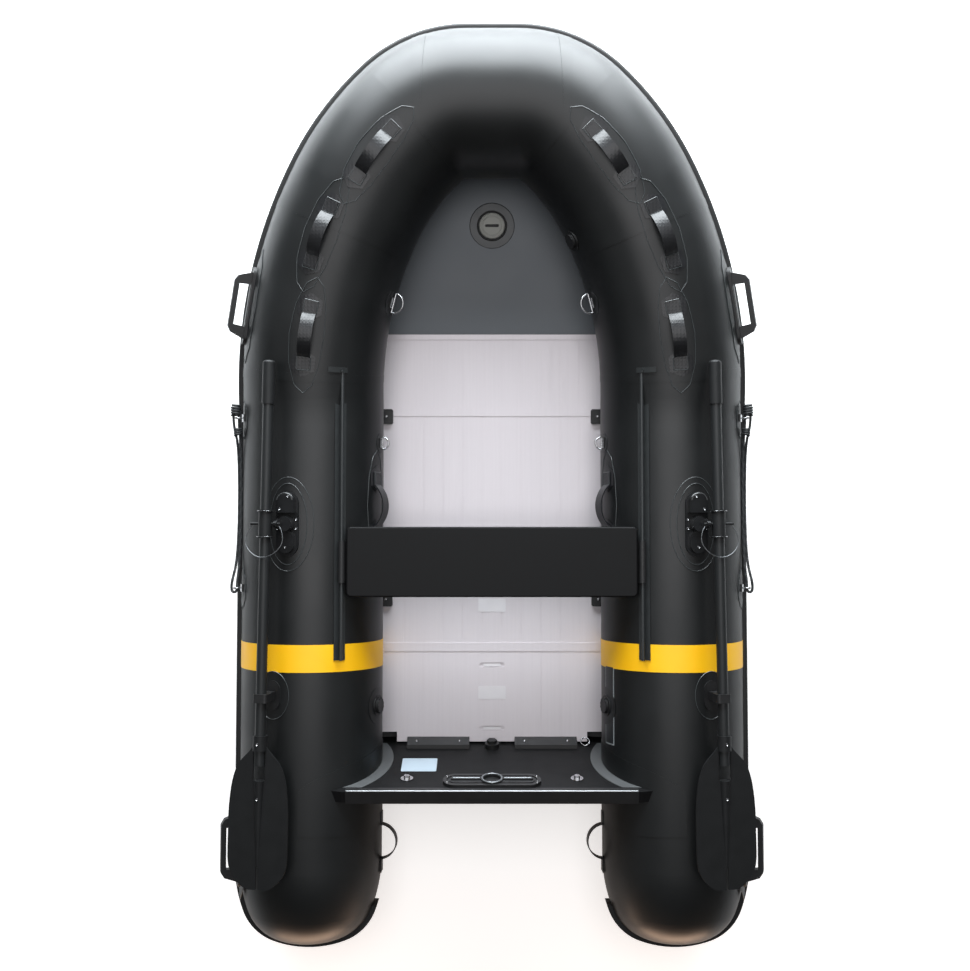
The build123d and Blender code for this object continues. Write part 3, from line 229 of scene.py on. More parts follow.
def weave(paint, pitch_mm, depth_mm):
    """Crossed threads at that pitch, as webbing and rope show."""
    tree = paint.node_tree
    place = add(tree, "TexCoord").outputs["Object"]
    threads = [
        add(tree, "TexWave", wave_type="BANDS", bands_direction=way, VECTOR=place, SCALE=1000 / pitch_mm / 20)
        for way in ("X", "Y")
    ]
    both = add(tree, "Math", operation="MULTIPLY")
    for socket, thread in zip(both.inputs, threads):
        tree.links.new(thread.outputs["Fac"], socket)
    bump = add(tree, "Bump", HEIGHT=both.outputs[0], STRENGTH=0.8, DISTANCE=depth_mm / 1000)
    tree.links.new(bump.outputs["Normal"], tree.nodes["Principled BSDF"].inputs["Normal"])
    return paint


PAINTS = {
    # black satin cloth: soft highlights show how round the tubes are
    "tube_fabric": finish("coated_pvc_cloth", "0B0D0E", "121415", 150, (0.34, 0.52)),
    # dull rubber: a darker edge round the hull
    "strake_rubber": finish("extruded_rubber", "0B0B0C", "141415", 60, (0.5, 0.65)),
    # the heavier cloth underneath, a shade paler
    "bottom_fabric": finish("bottom_cloth", "151618", "1F2022", 90, (0.45, 0.6)),
    # painted board: a quiet grey under the bow
    "grey_panel": finish("grey_board", "545A60", "60666C", 120, (0.4, 0.55)),
    # pale moulding, so that the cap stands out
    "valve_plastic": finish("valve_moulding", "878883", "95968F", 20, (0.4, 0.5)),
    # brushed along its length: pale, with fine fore-and-aft lines
    "floor_aluminium": finish(
        "anodised_aluminium", "CAC5C9", "D5D0D4", 6, (0.42, 0.62), (1, 0.02, 1), metallic=0.5
    ),
    # flat black paint with almost no highlight
    "black_board": finish("painted_board", "0A0A0B", "111112", 40, (0.5, 0.62), specular=0.18),
    # moulded nylon, fairly matt
    "black_moulding": finish("moulded_nylon", "111112", "19191A", 25, (0.42, 0.58)),
    # extrusion a little paler than the cloth under it
    "rail_plastic": finish("extruded_pvc", "1F2223", "282B2C", 25, (0.34, 0.48)),
    # woven strap with a sheen across its bend
    "webbing": finish("polyester_webbing", "111214", "1A1B1E", 30, (0.28, 0.42)),
    # bright wire and screws: small glints
    "stainless_steel": finish("stainless_wire", "B0B1B3", "C2C3C5", 8, (0.18, 0.32), metallic=1.0),
    # matt moulding, darker than the shaft
    "oar_plastic": finish("oar_moulding", "131415", "1B1C1D", 40, (0.45, 0.6), specular=0.3),
    # drawn tube: a long narrow highlight
    "shaft_aluminium": finish(
        "black_anodised_tube", "191B1C", "222425", 5, (0.42, 0.55), (1, 0.03, 1), metallic=0.2
    ),
    # braided cord, paler than the tube behind it
    "rope": finish("braided_polyester", "1E2022", "323436", 6, (0.4, 0.6)),
}
for slot in ("tube_fabric", "bottom_fabric"):
    grain(PAINTS[slot], 0.9, 0.05)
for slot in ("black_moulding", "rail_plastic", "oar_plastic", "strake_rubber", "black_board"):
    grain(PAINTS[slot], 1.6, 0.06)
grain(PAINTS["floor_aluminium"], 1.2, 0.03, (1, 0.02, 1))
weave(PAINTS["webbing"], 1.6, 0.25)
weave(PAINTS["rope"], 1.2, 0.15)
for part in frame["record"]["subparts"]:
    mesh = nodes[part["node"]].data
    mesh.materials.clear()
    mesh.materials.append(PAINTS.get(part["material_slot"], PAINTS["black_moulding"]))
# the oarlocks are a glossier moulding than the handles, so they show sharper glints
HOUSING = grain(finish("glossy_nylon", "101112", "17181A", 30, (0.24, 0.34)), 2.0, 0.05)
for side in ("port", "starboard"):
    for piece in ("oarlock_base", "oarlock_swivel"):
        nodes[f"{side}_{piece}"].data.materials[0] = HOUSING
# tape a shade paler than the board that it covers, and a collar a shade darker than its cap
nodes["transom_gussets"].data.materials[0] = finish("gusset_tape", "444647", "525455", 60, (0.45, 0.6))
nodes["keel_valve_collar"].data.materials[0] = finish("valve_collar", "36393C", "3F4245", 30)
# the keepers' thick wire is duller than the screws, a mid grey ring
KEEPER_WIRE = finish("dulled_wire", "626466", "737577", 8, (0.3, 0.45), metallic=1.0)
for side in ("port", "starboard"):
    nodes[side + "_oar_keeper"].data.materials[0] = KEEPER_WIRE

# %% [markdown]
# ## The tube's skin as a map
# Bands, seam tapes and reinforcing patches are flat cloth glued on an inflated tube. Each is drawn flat,
# with one axis along the tube and one round it, and is then wrapped. The map follows the tube's own line:
# a short straight at the bow, three plan bends of growing radius, the bend that levels the tube, and the
# straight side. It is written once for starboard, and port is its mirror image.

# %% The tube's line
TUBE_R = 0.210
TUBE_X = 0.540
BOW_Y = 1.128
TILT = radians(10.0)
PLAN_BENDS = ((0.235, radians(42.0)), (0.760, radians(20.0)), (1.250, radians(28.0)))
PLAN_HEADINGS = ((90, 48), (48, 28), (28, 0))
LIFT_BEND = 0.600
SIDE_REACH = 9.0
FRONT_HALF = TUBE_X - sum(
    radius * (cos(radians(last)) - cos(radians(first)))
    for (radius, _), (first, last) in zip(PLAN_BENDS, PLAN_HEADINGS)
)


def tube_runs():
    """Each run of the starboard line: its length, its start, three directions there, and its bend."""
    out = Vector((0, cos(TILT), sin(TILT)))
    up = Vector((0, -sin(TILT), cos(TILT)))
    along = Vector((1, 0, 0))
    reach = sum(
        radius * (sin(radians(first)) - sin(radians(last)))
        for (radius, _), (first, last) in zip(PLAN_BENDS, PLAN_HEADINGS)
    )
    here = Vector((0, BOW_Y, TUBE_R + LIFT_BEND * (1 - cos(TILT)) + reach * sin(TILT)))
    runs = [(FRONT_HALF, here, along, out, up, None)]
    here = here + along * FRONT_HALF
    for radius, turn in PLAN_BENDS:
        runs.append((radius * turn, here, along, out, up, ("plan", radius)))
        centre = here - out * radius
        along, out = along * cos(turn) - out * sin(turn), out * cos(turn) + along * sin(turn)
        here = centre + out * radius
    runs.append((LIFT_BEND * TILT, here, along, out, up, ("lift", LIFT_BEND)))
    centre = here + up * LIFT_BEND
    along, up = along * cos(TILT) + up * sin(TILT), up * cos(TILT) - along * sin(TILT)
    here = centre - up * LIFT_BEND
    runs.append((SIDE_REACH, here, along, out, up, None))
    return runs


RUNS = tube_runs()
SIDE_START = sum(run[0] for run in RUNS[:-1])
SIDE_Y = RUNS[-1][1].y


def line_frame(s):
    """The tube's middle line s metres aft of the bow's middle: centre, along, out and up."""
    left = s
    for length, here, along, out, up, bend in RUNS:
        if left <= length:
            break
        left -= length
    if bend is None:
        return here + along * left, along, out, up
    kind, radius = bend
    a = left / radius
    if kind == "plan":
        centre = here - out * radius
        out, along = out * cos(a) + along * sin(a), along * cos(a) - out * sin(a)
        return centre + out * radius, along, out, up
    centre = here + up * radius
    up, along = up * cos(a) - along * sin(a), along * cos(a) + up * sin(a)
    return centre - up * radius, along, out, up


def skin_point(s, roll, lift=0.0):
    """s metres aft of the bow's middle, roll radians outboard of the crown, lift metres off the skin."""
    here, along, out, up = line_frame(s)
    return here + (up * cos(roll) + out * sin(roll)) * (TUBE_R + lift)


def skin_place(s, roll, lift=0.0):
    """The matrix of a place on the skin: x runs aft along the tube, and z stands off it."""
    here, along, out, up = line_frame(s)
    normal = up * cos(roll) + out * sin(roll)
    side = normal.cross(along)
    turn = Matrix((along, side, normal)).transposed().to_4x4()
    return Matrix.Translation(here + normal * (TUBE_R + lift)) @ turn


def side_s(y):
    """The distance along the line of a place y on the side tube or on the lift bend ahead of it."""
    if y <= SIDE_Y:
        return SIDE_START + SIDE_Y - y
    return SIDE_START - LIFT_BEND * asin((y - SIDE_Y) / LIFT_BEND)


def run_s(run, share):
    """The distance along the line of a place part of the way along one run."""
    return sum(piece[0] for piece in RUNS[:run]) + share * RUNS[run][0]


# %% Rings and the cloth that holds them
LINE_STEP = 0.01
TUBE_LINE = [line_frame(i * LINE_STEP)[0] for i in range(270)]
RING_SEAT = 0.0049


def off_skin(point):
    """How far a point stands off the tube's skin."""
    here = Vector((abs(point.x), point.y, point.z))
    return min((here - place).length for place in TUBE_LINE) - TUBE_R


for name in ("cockpit_d_rings", "rope_eyes", "bow_tow_rings"):
    data = nodes[name].data
    data.materials.append(PAINTS["tube_fabric"])
    for face in data.polygons:
        face.material_index = 0 if off_skin(face.center) > RING_SEAT else 1
    steel = sum(face.material_index == 0 for face in data.polygons)
    print(name, "steel faces", steel, "of", len(data.polygons))

print("side tube starts at s", round(SIDE_START, 4), "y", round(SIDE_Y, 4), "height", round(RUNS[-1][1].z, 4))


# %% Piece helpers
def piece_from(mesh, name, paint, body="hull", smooth=True):
    """Turns a bmesh into a piece that rides on a CAD body."""
    bmesh.ops.recalc_face_normals(mesh, faces=mesh.faces)
    data = bpy.data.meshes.new(name)
    mesh.to_mesh(data)
    mesh.free()
    data.materials.append(paint)
    if smooth:
        data.shade_smooth()
        data.set_sharp_from_angle(angle=radians(38))
    piece = bpy.data.objects.new(name, data)
    scene.collection.objects.link(piece)
    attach(piece, body)
    print(name, "faces", len(data.polygons))
    return piece


def mirrored(mesh):
    """Adds the port copy of what a bmesh holds."""
    geom = mesh.verts[:] + mesh.edges[:] + mesh.faces[:]
    bmesh.ops.mirror(mesh, geom=geom, merge_dist=-1, axis="X")
    return mesh


def cut_strip(mesh, length, width, step=0.014):
    """A flat rectangle of cloth, length along the tube and width round it, in small squares."""
    across, around = (max(2, round(size / step)) for size in (length, width))
    cut = bmesh.ops.create_grid(mesh, x_segments=across, y_segments=around, size=0.5)
    bmesh.ops.scale(mesh, verts=cut["verts"], vec=(length, width, 1))
    return cut["verts"]


def cut_oval(mesh, length, width, corners=40, step=6):
    """A flat oval of cloth, or a patch with few corners, in small triangles."""
    flat = bmesh.new()
    bmesh.ops.create_circle(flat, cap_ends=True, cap_tris=True, segments=corners, radius=0.5)
    bmesh.ops.scale(flat, verts=flat.verts, vec=(length, width, 1))
    bmesh.ops.subdivide_edges(flat, edges=flat.edges, cuts=step, use_grid_fill=True)
    cloth = bpy.data.meshes.new("cut")
    flat.to_mesh(cloth)
    flat.free()
    known = len(mesh.verts)
    mesh.from_mesh(cloth)
    bpy.data.meshes.remove(cloth)
    mesh.verts.ensure_lookup_table()
    return mesh.verts[known:]


def glue(mesh, verts, s, roll, thick, lift=0.0002):
    """Gives a flat cut its thickness and wraps it on the starboard tube round s and roll (degrees)."""
    faces = list({face for vert in verts for face in vert.link_faces})
    raised = bmesh.ops.extrude_face_region(mesh, geom=faces, use_keep_orig=True)["geom"]
    layers = ((verts, lift), ([v for v in raised if isinstance(v, bmesh.types.BMVert)], lift + thick))
    for layer, height in layers:
        for vert in layer:
            vert.co = skin_point(s + vert.co.x, radians(roll) + vert.co.y / TUBE_R, height)


def pan_head(mesh, place, radius=0.0042):
    """A screw's pan head with a round socket, standing at that place."""
    tall = radius * 0.55
    stand = place @ Matrix.Translation((0, 0, tall / 2))
    head = bmesh.ops.create_cone(
        mesh, cap_ends=True, segments=20, radius1=radius, radius2=radius * 0.8, depth=tall, matrix=stand
    )
    normal = place.to_3x3() @ Vector((0, 0, 1))
    faces = list({face for vert in head["verts"] for face in vert.link_faces})
    top = max(faces, key=lambda face: face.calc_center_median().dot(normal))
    bmesh.ops.inset_region(mesh, faces=[top], thickness=radius * 0.35)
    bmesh.ops.translate(mesh, verts=top.verts, vec=normal * -tall * 0.7)


# %% [markdown]
# ## Yellow bands
# A strip of yellow coated cloth, 78 mm wide, is glued round each side tube behind the seat. It stops at
# the rub strake and goes on below it. It is cut flat as a grid and wrapped, as the real one is, so the
# strip keeps its true width on the curve. The seat rail's end strip lies over it.

# %% Bands
BAND_Y = -0.488
BAND_WIDTH = 0.078
STRAKE_TOP_ROLL = 79.5
STRAKE_FOOT_ROLL = 101.0


def wrap_width(low, high):
    """The cloth's width round the tube between two rolls in degrees."""
    return radians(high - low) * TUBE_R


# strong yellow cloth, the boat's one bright colour
yellow = grain(finish("yellow_pvc_cloth", "FFBA04", "FFC60E", 90, (0.36, 0.48)), 0.9, 0.05)
bands = bmesh.new()
for low, high in ((-126, STRAKE_TOP_ROLL), (STRAKE_FOOT_ROLL, 130)):
    cut = cut_strip(bands, BAND_WIDTH, wrap_width(low, high))
    glue(bands, cut, side_s(BAND_Y), (low + high) / 2, 0.0007)
mirrored(bands)
piece_from(bands, "yellow_bands", yellow)

# %% [markdown]
# ## Seam tapes
# The chambers are cut from flat panels. Where two meet, a 24 mm tape covers the joint and shows as a pair
# of faint ridges. The bow's centre panel is mitred, so its two seams run fore and aft, and each tape is
# sheared flat before it is wrapped.

# %% Seams
PVC = PAINTS["tube_fabric"]
TAPE_WIDTH = 0.024
MITRE_X = 0.209
seams = bmesh.new()


def mitre(roll):
    """How far along the line the bow panel's seam crosses a roll: it keeps MITRE_X off the middle."""
    radius, turn = PLAN_BENDS[0]
    reach = max(radius + TUBE_R * sin(roll), 0.001)
    aside = min(1.0, (MITRE_X - FRONT_HALF) / reach)
    return FRONT_HALF + radius * min(turn, asin(aside))


low, high = -60, 78
cut = cut_strip(seams, TAPE_WIDTH, wrap_width(low, high))
for vert in cut:
    vert.co.x += mitre(radians((low + high) / 2) + vert.co.y / TUBE_R)
glue(seams, cut, 0.0, (low + high) / 2, 0.0006)
for middle in (0.62, 1.06):
    cut = cut_strip(seams, TAPE_WIDTH, wrap_width(-120, STRAKE_TOP_ROLL))
    glue(seams, cut, middle, (STRAKE_TOP_ROLL - 120) / 2, 0.0006)
mirrored(seams)
piece_from(seams, "seam_tapes", PVC)

# %% [markdown]
# ## Doublers and patches
# Extra cloth is glued wherever a fitting pulls on the tube: a shaped doubler beside the transom, ovals
# under the oarlocks and clips, and six-sided patches under the handles and the rope's eyes. Two layers, the
# upper one smaller, step the load into the tube. A few cuts wrapped by one function make them all.

# %% Doublers and patches
patches = bmesh.new()
FORE_EDGE = -0.863
AFT_EDGE = -0.985
low, high = -112, 2
cut = cut_strip(patches, 1.0, wrap_width(low, high), 0.012)
for vert in cut:
    roll = radians((low + high) / 2) + vert.co.y / TUBE_R
    down = min(1.0, max(0.0, -roll / (pi / 2)))
    fore, aft = side_s(FORE_EDGE + 0.111 * down**0.55), side_s(AFT_EDGE - 0.02 * down)
    vert.co.x = fore + (aft - fore) * (vert.co.x + 0.5)
glue(patches, cut, 0.0, (low + high) / 2, 0.0012)

OARLOCK_Y = -0.106
OVAL, ROUND = 40, 48
OARLOCK_S, CLIP_S = side_s(OARLOCK_Y), side_s(-0.592)
# where along the line, roll in degrees, length, width, corners of the cut and of its rim, and rim height
PATCHES = (
    (OARLOCK_S, 11.5, 0.268, 0.150, OVAL, ROUND, 0.0011),
    (OARLOCK_S, 11.5, 0.232, 0.112, OVAL, ROUND, 0.0021),
    (CLIP_S, 23.2, 0.135, 0.100, OVAL, ROUND, 0.0011),
    (side_s(0.2107), 69.0, 0.125, 0.078, 6, 6, 0.0011),
    (side_s(-0.293), 69.0, 0.125, 0.078, 6, 6, 0.0011),
    (side_s(-0.64), -74.0, 0.110, 0.110, OVAL, None, None),
    (run_s(3, 0.62), 66.0, 0.292, 0.092, 8, 8, 0.0011),
    (side_s(-1.0502), 66.0, 0.292, 0.092, 8, 8, 0.0011),
)
for s, roll, long, wide, corners, _, _ in PATCHES:
    glue(patches, cut_oval(patches, long, wide, corners), s, roll, 0.0010)
mirrored(patches)
piece_from(patches, "doublers_and_patches", PVC)

# %% [markdown]
# ## Welded edges, painted pale
# Hot air melts each patch's rim into the tube and leaves a fine raised line. It catches the light, and its
# paler paint is a painted highlight, so it is what shows of a black patch on a black tube. A thin closed
# curve wrapped on the skin gives it.


# %% Rims
def thread_mesh(lines, radius, name, sides=0, closed=False):
    """Round threads along lines of points, as one mesh with closed ends."""
    curve = bpy.data.curves.new(name, "CURVE")
    curve.dimensions = "3D"
    curve.bevel_depth = radius
    curve.bevel_resolution = sides
    curve.use_fill_caps = True
    for line in lines:
        spline = curve.splines.new("POLY")
        spline.points.add(len(line) - 1)
        for point, place in zip(spline.points, line):
            point.co = (*place, 1.0)
        spline.use_cyclic_u = closed
    holder = bpy.data.objects.new(name, curve)
    scene.collection.objects.link(holder)
    made = bpy.data.meshes.new_from_object(holder)
    bpy.data.objects.remove(holder)
    bpy.data.curves.remove(curve)
    return made


def rim(long, wide, corners, s, roll, lift, turn=0.0):
    """The outline of an oval or a patch with few corners, on the starboard skin."""
    per_side = max(1, 48 // corners)
    line = []
    for i in range(corners):
        a, b = (2 * pi * (i + k) / corners + turn for k in (0, 1))
        for j in range(per_side):
            t = j / per_side
            x = (cos(a) * (1 - t) + cos(b) * t) * long / 2
            y = (sin(a) * (1 - t) + sin(b) * t) * wide / 2
            line.append(skin_point(s + x, radians(roll) + y / TUBE_R, lift))
    return line


STRAPS = (
    (run_s(2, 0.55), 0.0),
    (run_s(3, 0.24), 8.0),
    (run_s(3, 0.70), 0.0),
    (side_s(-0.050), -70.0),
)
TAB_MIDDLE = 0.080
rims = [
    rim(long, wide, corners, s, roll, lift)
    for s, roll, long, wide, _, corners, lift in PATCHES
    if corners
]
for s, roll in STRAPS:
    rims.append(rim(0.330, 0.100, 12, s, roll, 0.0006))
    for tab in (-TAB_MIDDLE, TAB_MIDDLE):
        rims.append(rim(0.0535, 0.055, 4, s + tab, roll, 0.0048, pi / 4))
# painted highlight: the raised line round each patch is painted paler than the cloth
patch_rim_painted_highlight = finish("patch_rim_painted_highlight", "373B3C", "434748", 20, (0.28, 0.4))
mesh = bmesh.new()
made = thread_mesh(rims, 0.0010, "rims", closed=True)
mesh.from_mesh(made)
bpy.data.meshes.remove(made)
mirrored(mesh)
piece_from(mesh, "patch_rims", patch_rim_painted_highlight)

# %% [markdown]
# ## Rub strake ribs
# The strake is an extruded rubber belt with three rounded ribs that take the scuffing. The CAD belt is
# plain, so each rib is a narrow grid carried along the tube's line, arched across its width.

# %% Ribs
STRAKE_DEPTH = 0.012
RIB_WIDTH = 0.010
RIB_RISE = 0.0022
RIB_END_Y = -1.09
ribs = bmesh.new()
rib_length = side_s(RIB_END_Y)
for height in (-0.021, 0.0, 0.021):
    belt = bmesh.ops.create_grid(ribs, x_segments=210, y_segments=6, size=0.5)["verts"]
    flat = list({face for vert in belt for face in vert.link_faces})
    back = bmesh.ops.extrude_face_region(ribs, geom=flat, use_keep_orig=True)
    raised = [v for v in back["geom"] if isinstance(v, bmesh.types.BMVert)]
    for layer, rise in ((belt, 0.0), (raised, RIB_RISE)):
        for vert in layer:
            across = vert.co.y
            centre, along, out, up = line_frame((vert.co.x + 0.5) * rib_length)
            proud = TUBE_R + STRAKE_DEPTH + 0.0001 + rise * cos(across * pi * 0.96)
            vert.co = centre + out * proud + up * (height + across * RIB_WIDTH)
mirrored(ribs)
piece_from(ribs, "rub_strake_ribs", PAINTS["strake_rubber"])

# %% [markdown]
# ## Blank plates
# A pale plate on the transom, two foil plates on the floor and a long strip on the starboard tube are left
# blank. Each plate starts as one square face: its corners are bevelled, and it is then given its thickness.

# %% Plates
RAKE = radians(14.0)
TRANSOM_FOOT_Y = -0.760
FLOOR_TOP = 0.092
UP_FACE = Vector((0, -sin(RAKE), cos(RAKE)))
INWARD = Vector((0, cos(RAKE), sin(RAKE)))


def on_transom(x, up, proud):
    """A place on the transom's inner face: y runs up the face, and z stands off it into the boat."""
    turn = Matrix((Vector((-1, 0, 0)), UP_FACE, INWARD)).transposed().to_4x4()
    return Matrix.Translation(Vector((x, TRANSOM_FOOT_Y, 0)) + UP_FACE * up + INWARD * proud) @ turn


def plate(mesh, place, width, height, thick, corner=0.004):
    """A thin plate with rounded corners, lying on that place."""
    cut = bmesh.ops.create_grid(mesh, x_segments=1, y_segments=1, size=0.5)["verts"]
    bmesh.ops.scale(mesh, verts=cut, vec=(width, height, 1))
    rounded = bmesh.ops.bevel(
        mesh, geom=cut, offset=corner, segments=6, profile=0.5, affect="VERTICES", material=-1
    )
    outline = rounded["verts"]
    face = list({face for vert in outline for face in vert.link_faces})
    raised = bmesh.ops.extrude_face_region(mesh, geom=face, use_keep_orig=True)["geom"]
    top = [v for v in raised if isinstance(v, bmesh.types.BMVert)]
    bmesh.ops.translate(mesh, verts=top, vec=(0, 0, thick))
    bmesh.ops.transform(mesh, verts=outline + top, matrix=place)


# a pale blue-grey plate, bright against the black transom
printed_pale = finish("printed_aluminium", "B4C5D1", "BECFDB", 40, (0.3, 0.42), metallic=0.2)
# foil a touch paler than the floor, so the plates show faintly
foil = finish("foil_plate", "D2CFD2", "DBD8DB", 40, (0.55, 0.65), metallic=0.1)
PLATE_X, PLATE_UP = -0.216, 0.247
PLATE_SIZE = (0.104, 0.088, 0.0008)
FOIL_YS = (-0.355, -0.625)
FOIL_SIZE = (0.085, 0.040, 0.0006)
plates = bmesh.new()
plate(plates, on_transom(PLATE_X, PLATE_UP, 0.0002), *PLATE_SIZE)
piece_from(plates, "transom_blank_plate", printed_pale)
plates = bmesh.new()
for y in FOIL_YS:
    plate(plates, Matrix.Translation((0, y, FLOOR_TOP + 0.0001)), *FOIL_SIZE, 0.002)
piece_from(plates, "floor_foil_plates", foil)

# a thin grey border that outlines the black strip
vinyl_edge = finish("vinyl_border", "8A9092", "949A9C", 30, (0.4, 0.5))
vinyl = finish("vinyl_strip", "1A1D1F", "222527", 30, (0.35, 0.45))
STRIP_ROLL = -68.0
STRIP_Y = -0.635
for name, long, wide, lift, paint in (
    ("blank_strip_border", 0.230, 0.052, 0.0002, vinyl_edge),
    ("blank_strip", 0.222, 0.044, 0.0007, vinyl),
):
    strip_mesh = bmesh.new()
    glue(strip_mesh, cut_strip(strip_mesh, long, wide, 0.006), side_s(STRIP_Y), STRIP_ROLL, 0.0005, lift)
    piece_from(strip_mesh, name, paint)

# %% [markdown]
# ## Screws and rivets
# Small fasteners are left to this lesson. A pan head is a short cone whose top is inset and sunk for the
# driver. Stainless heads hold the motor pad, the floor's retainers and the oarlock housings.

# %% Fasteners
STEEL = PAINTS["stainless_steel"]
PAD_MIDDLE = 0.3636
RING_R = 0.0285
heads = bmesh.new()
PAD_SCREW_X, PAD_SCREW_UP = 0.129, 0.019
for x in (-PAD_SCREW_X, PAD_SCREW_X):
    for up in (-PAD_SCREW_UP, PAD_SCREW_UP):
        pan_head(heads, on_transom(x, PAD_MIDDLE + up, 0.010), 0.0040)
pan_head(heads, on_transom(0, PAD_MIDDLE + RING_R, 0.014), 0.0036)

RETAINER_SLOPE = atan2(17, 27)
RETAINER_XS = (-0.232, -0.100, 0.100, 0.232)
RETAINER_Y, RETAINER_Z = -0.7714, 0.1145
retainer_turn = Matrix.Rotation(RETAINER_SLOPE - pi / 2, 4, "X")
for x in RETAINER_XS:
    pan_head(heads, Matrix.Translation((x, RETAINER_Y, RETAINER_Z)) @ retainer_turn, 0.0045)

STRINGER_CLIP_X, STRINGER_CLIP_YS, STRINGER_CLIP_RISE = 0.330, (0.235, -0.335), 0.0145
for x in (-STRINGER_CLIP_X, STRINGER_CLIP_X):
    for y in STRINGER_CLIP_YS:
        pan_head(heads, Matrix.Translation((x, y, FLOOR_TOP + STRINGER_CLIP_RISE)), 0.0045)

LOCK_ROLL = 11.5
LOCK_PLACE = skin_place(side_s(OARLOCK_Y), radians(LOCK_ROLL))
# each screw's place aft, outboard and above the skin: two on the housing, four on the base, one on the foot
LOCK_SCREWS = (
    (-0.078, -0.010, 0.0260),
    (-0.042, 0.014, 0.0260),
    (-0.013, -0.028, 0.0060),
    (0.013, -0.028, 0.0060),
    (-0.013, 0.028, 0.0060),
    (0.013, 0.028, 0.0060),
    (0.066, 0.0, 0.0180),
)
lock_heads = bmesh.new()
for place in LOCK_SCREWS:
    pan_head(lock_heads, LOCK_PLACE @ Matrix.Translation(place), 0.0036)
mirrored(lock_heads)
piece_from(heads, "hull_screws", STEEL)
piece_from(lock_heads, "oarlock_screws", STEEL)

# %% [markdown]
# ## Trim on the transom, with painted highlights
# The pad's raised ring and wings are drawn again in pale, half-metallic paint, a painted highlight, and a
# pale strip along the cap's inner edge is a painted highlight too. They are spun and extruded from small
# circles.


# %% Trim, ring and painted edge highlight
def rod(mesh, place, length, radius, corners=12):
    """A straight rod with rounded ends along the place's x."""
    turn = place @ Matrix.Rotation(pi / 2, 4, "Y")
    made = bmesh.ops.create_cone(
        mesh, cap_ends=True, segments=corners, radius1=radius, radius2=radius, depth=length, matrix=turn
    )
    caps = {face for vert in made["verts"] for face in vert.link_faces if len(face.verts) == corners}
    rims = list({edge for face in caps for edge in face.edges})
    bmesh.ops.bevel(
        mesh, geom=rims, offset=radius * 0.7, segments=3, profile=0.5, affect="EDGES", material=-1
    )


def ring(mesh, place, radius, wire, corners=12, steps=48):
    """A closed ring of round wire in the place's xy plane."""
    section = Matrix.Translation((radius, 0, 0)) @ Matrix.Rotation(pi / 2, 4, "X")
    made = bmesh.ops.create_circle(mesh, segments=corners, radius=wire, matrix=place @ section)["verts"]
    geom = made + list({edge for vert in made for edge in vert.link_edges})
    centre = place.to_translation()
    axis = place.to_3x3() @ Vector((0, 0, 1))
    bmesh.ops.spin(mesh, geom=geom, cent=centre, axis=axis, angle=2 * pi, steps=steps, use_merge=True)


# painted highlight: the pad's ring and wings in pale, half-metallic paint
pad_highlight_paint = finish("pad_painted_highlight", "74777A", "86898C", 20, (0.18, 0.3), metallic=0.6)
# painted highlight: a pale strip along the cap's inner edge
edge_highlight_paint = finish("cap_edge_painted_highlight", "BCBFC2", "CCCFD2", 30, (0.25, 0.38), metallic=0.4)
TRIM_R, TRIM_PROUD = 0.0026, 0.0142
WING_X, WING_LENGTH = 0.074, 0.080
trim = bmesh.new()
ring(trim, on_transom(0, PAD_MIDDLE, TRIM_PROUD), RING_R, TRIM_R)
for x in (-WING_X, WING_X):
    rod(trim, on_transom(x, PAD_MIDDLE, TRIM_PROUD), WING_LENGTH, TRIM_R)
piece_from(trim, "motor_pad_trim", pad_highlight_paint)

CAP_TOP = 0.4238
RAIL_FRONT_Y = 0.366
RAIL_ROLL = -29.4
TAB_LONG, TAB_WIDE = 0.016, 0.058
TAB_S = side_s(RAIL_FRONT_Y) - TAB_LONG / 2
tabs = bmesh.new()
glue(tabs, cut_strip(tabs, TAB_LONG, TAB_WIDE, 0.004), TAB_S, RAIL_ROLL + 2.4, 0.0030)
pan_head(tabs, skin_place(TAB_S, radians(RAIL_ROLL), 0.0032), 0.0034)
mirrored(tabs)
piece_from(tabs, "rail_end_tabs", PAINTS["rail_plastic"])

EDGE_HIGHLIGHT_LENGTH, EDGE_HIGHLIGHT_R = 0.826, 0.0019
edge_highlight = bmesh.new()
rod(edge_highlight, on_transom(0, CAP_TOP, 0.0030), EDGE_HIGHLIGHT_LENGTH, EDGE_HIGHLIGHT_R)
piece_from(edge_highlight, "transom_edge_highlight", edge_highlight_paint)

spare_ring = bmesh.new()
lean = Matrix.Translation((0.288, -0.7745, 0.1030)) @ Matrix.Rotation(radians(-36), 4, "X")
ring(spare_ring, lean, 0.0130, 0.0018)
piece_from(spare_ring, "lashing_ring", STEEL)

# %% [markdown]
# ## Filling valve
# The keel's valve stands in a round hole in the bow panel: a gap, a grey cap with a knurled rim, and a
# coin slot. The CAD gives the solids, and dark rings and a dark slot floor, painted shade, give them their
# edges.

# %% Valve
PANEL_TIP = Matrix.Rotation(radians(8), 4, "X")
VALVE = Matrix.Translation((0, 0.832, 0.1272)) @ PANEL_TIP
# painted shade: dark rings stand in for the shade in the gap round the cap and at the collar's edge
gap_shade_paint = finish("valve_painted_shade", "0A0B0B", "101111", 10, (0.55, 0.65))
# height, radius and wire of the painted shade ring in the gap round the cap and of the painted shade line
# round the collar
SHADE_RINGS = ((0.0084, 0.0445, 0.0030), (0.0116, 0.0700, 0.0009))
shade_ring_mesh = bmesh.new()
for rise, radius, wire in SHADE_RINGS:
    ring(shade_ring_mesh, VALVE @ Matrix.Translation((0, 0, rise)), radius, wire)
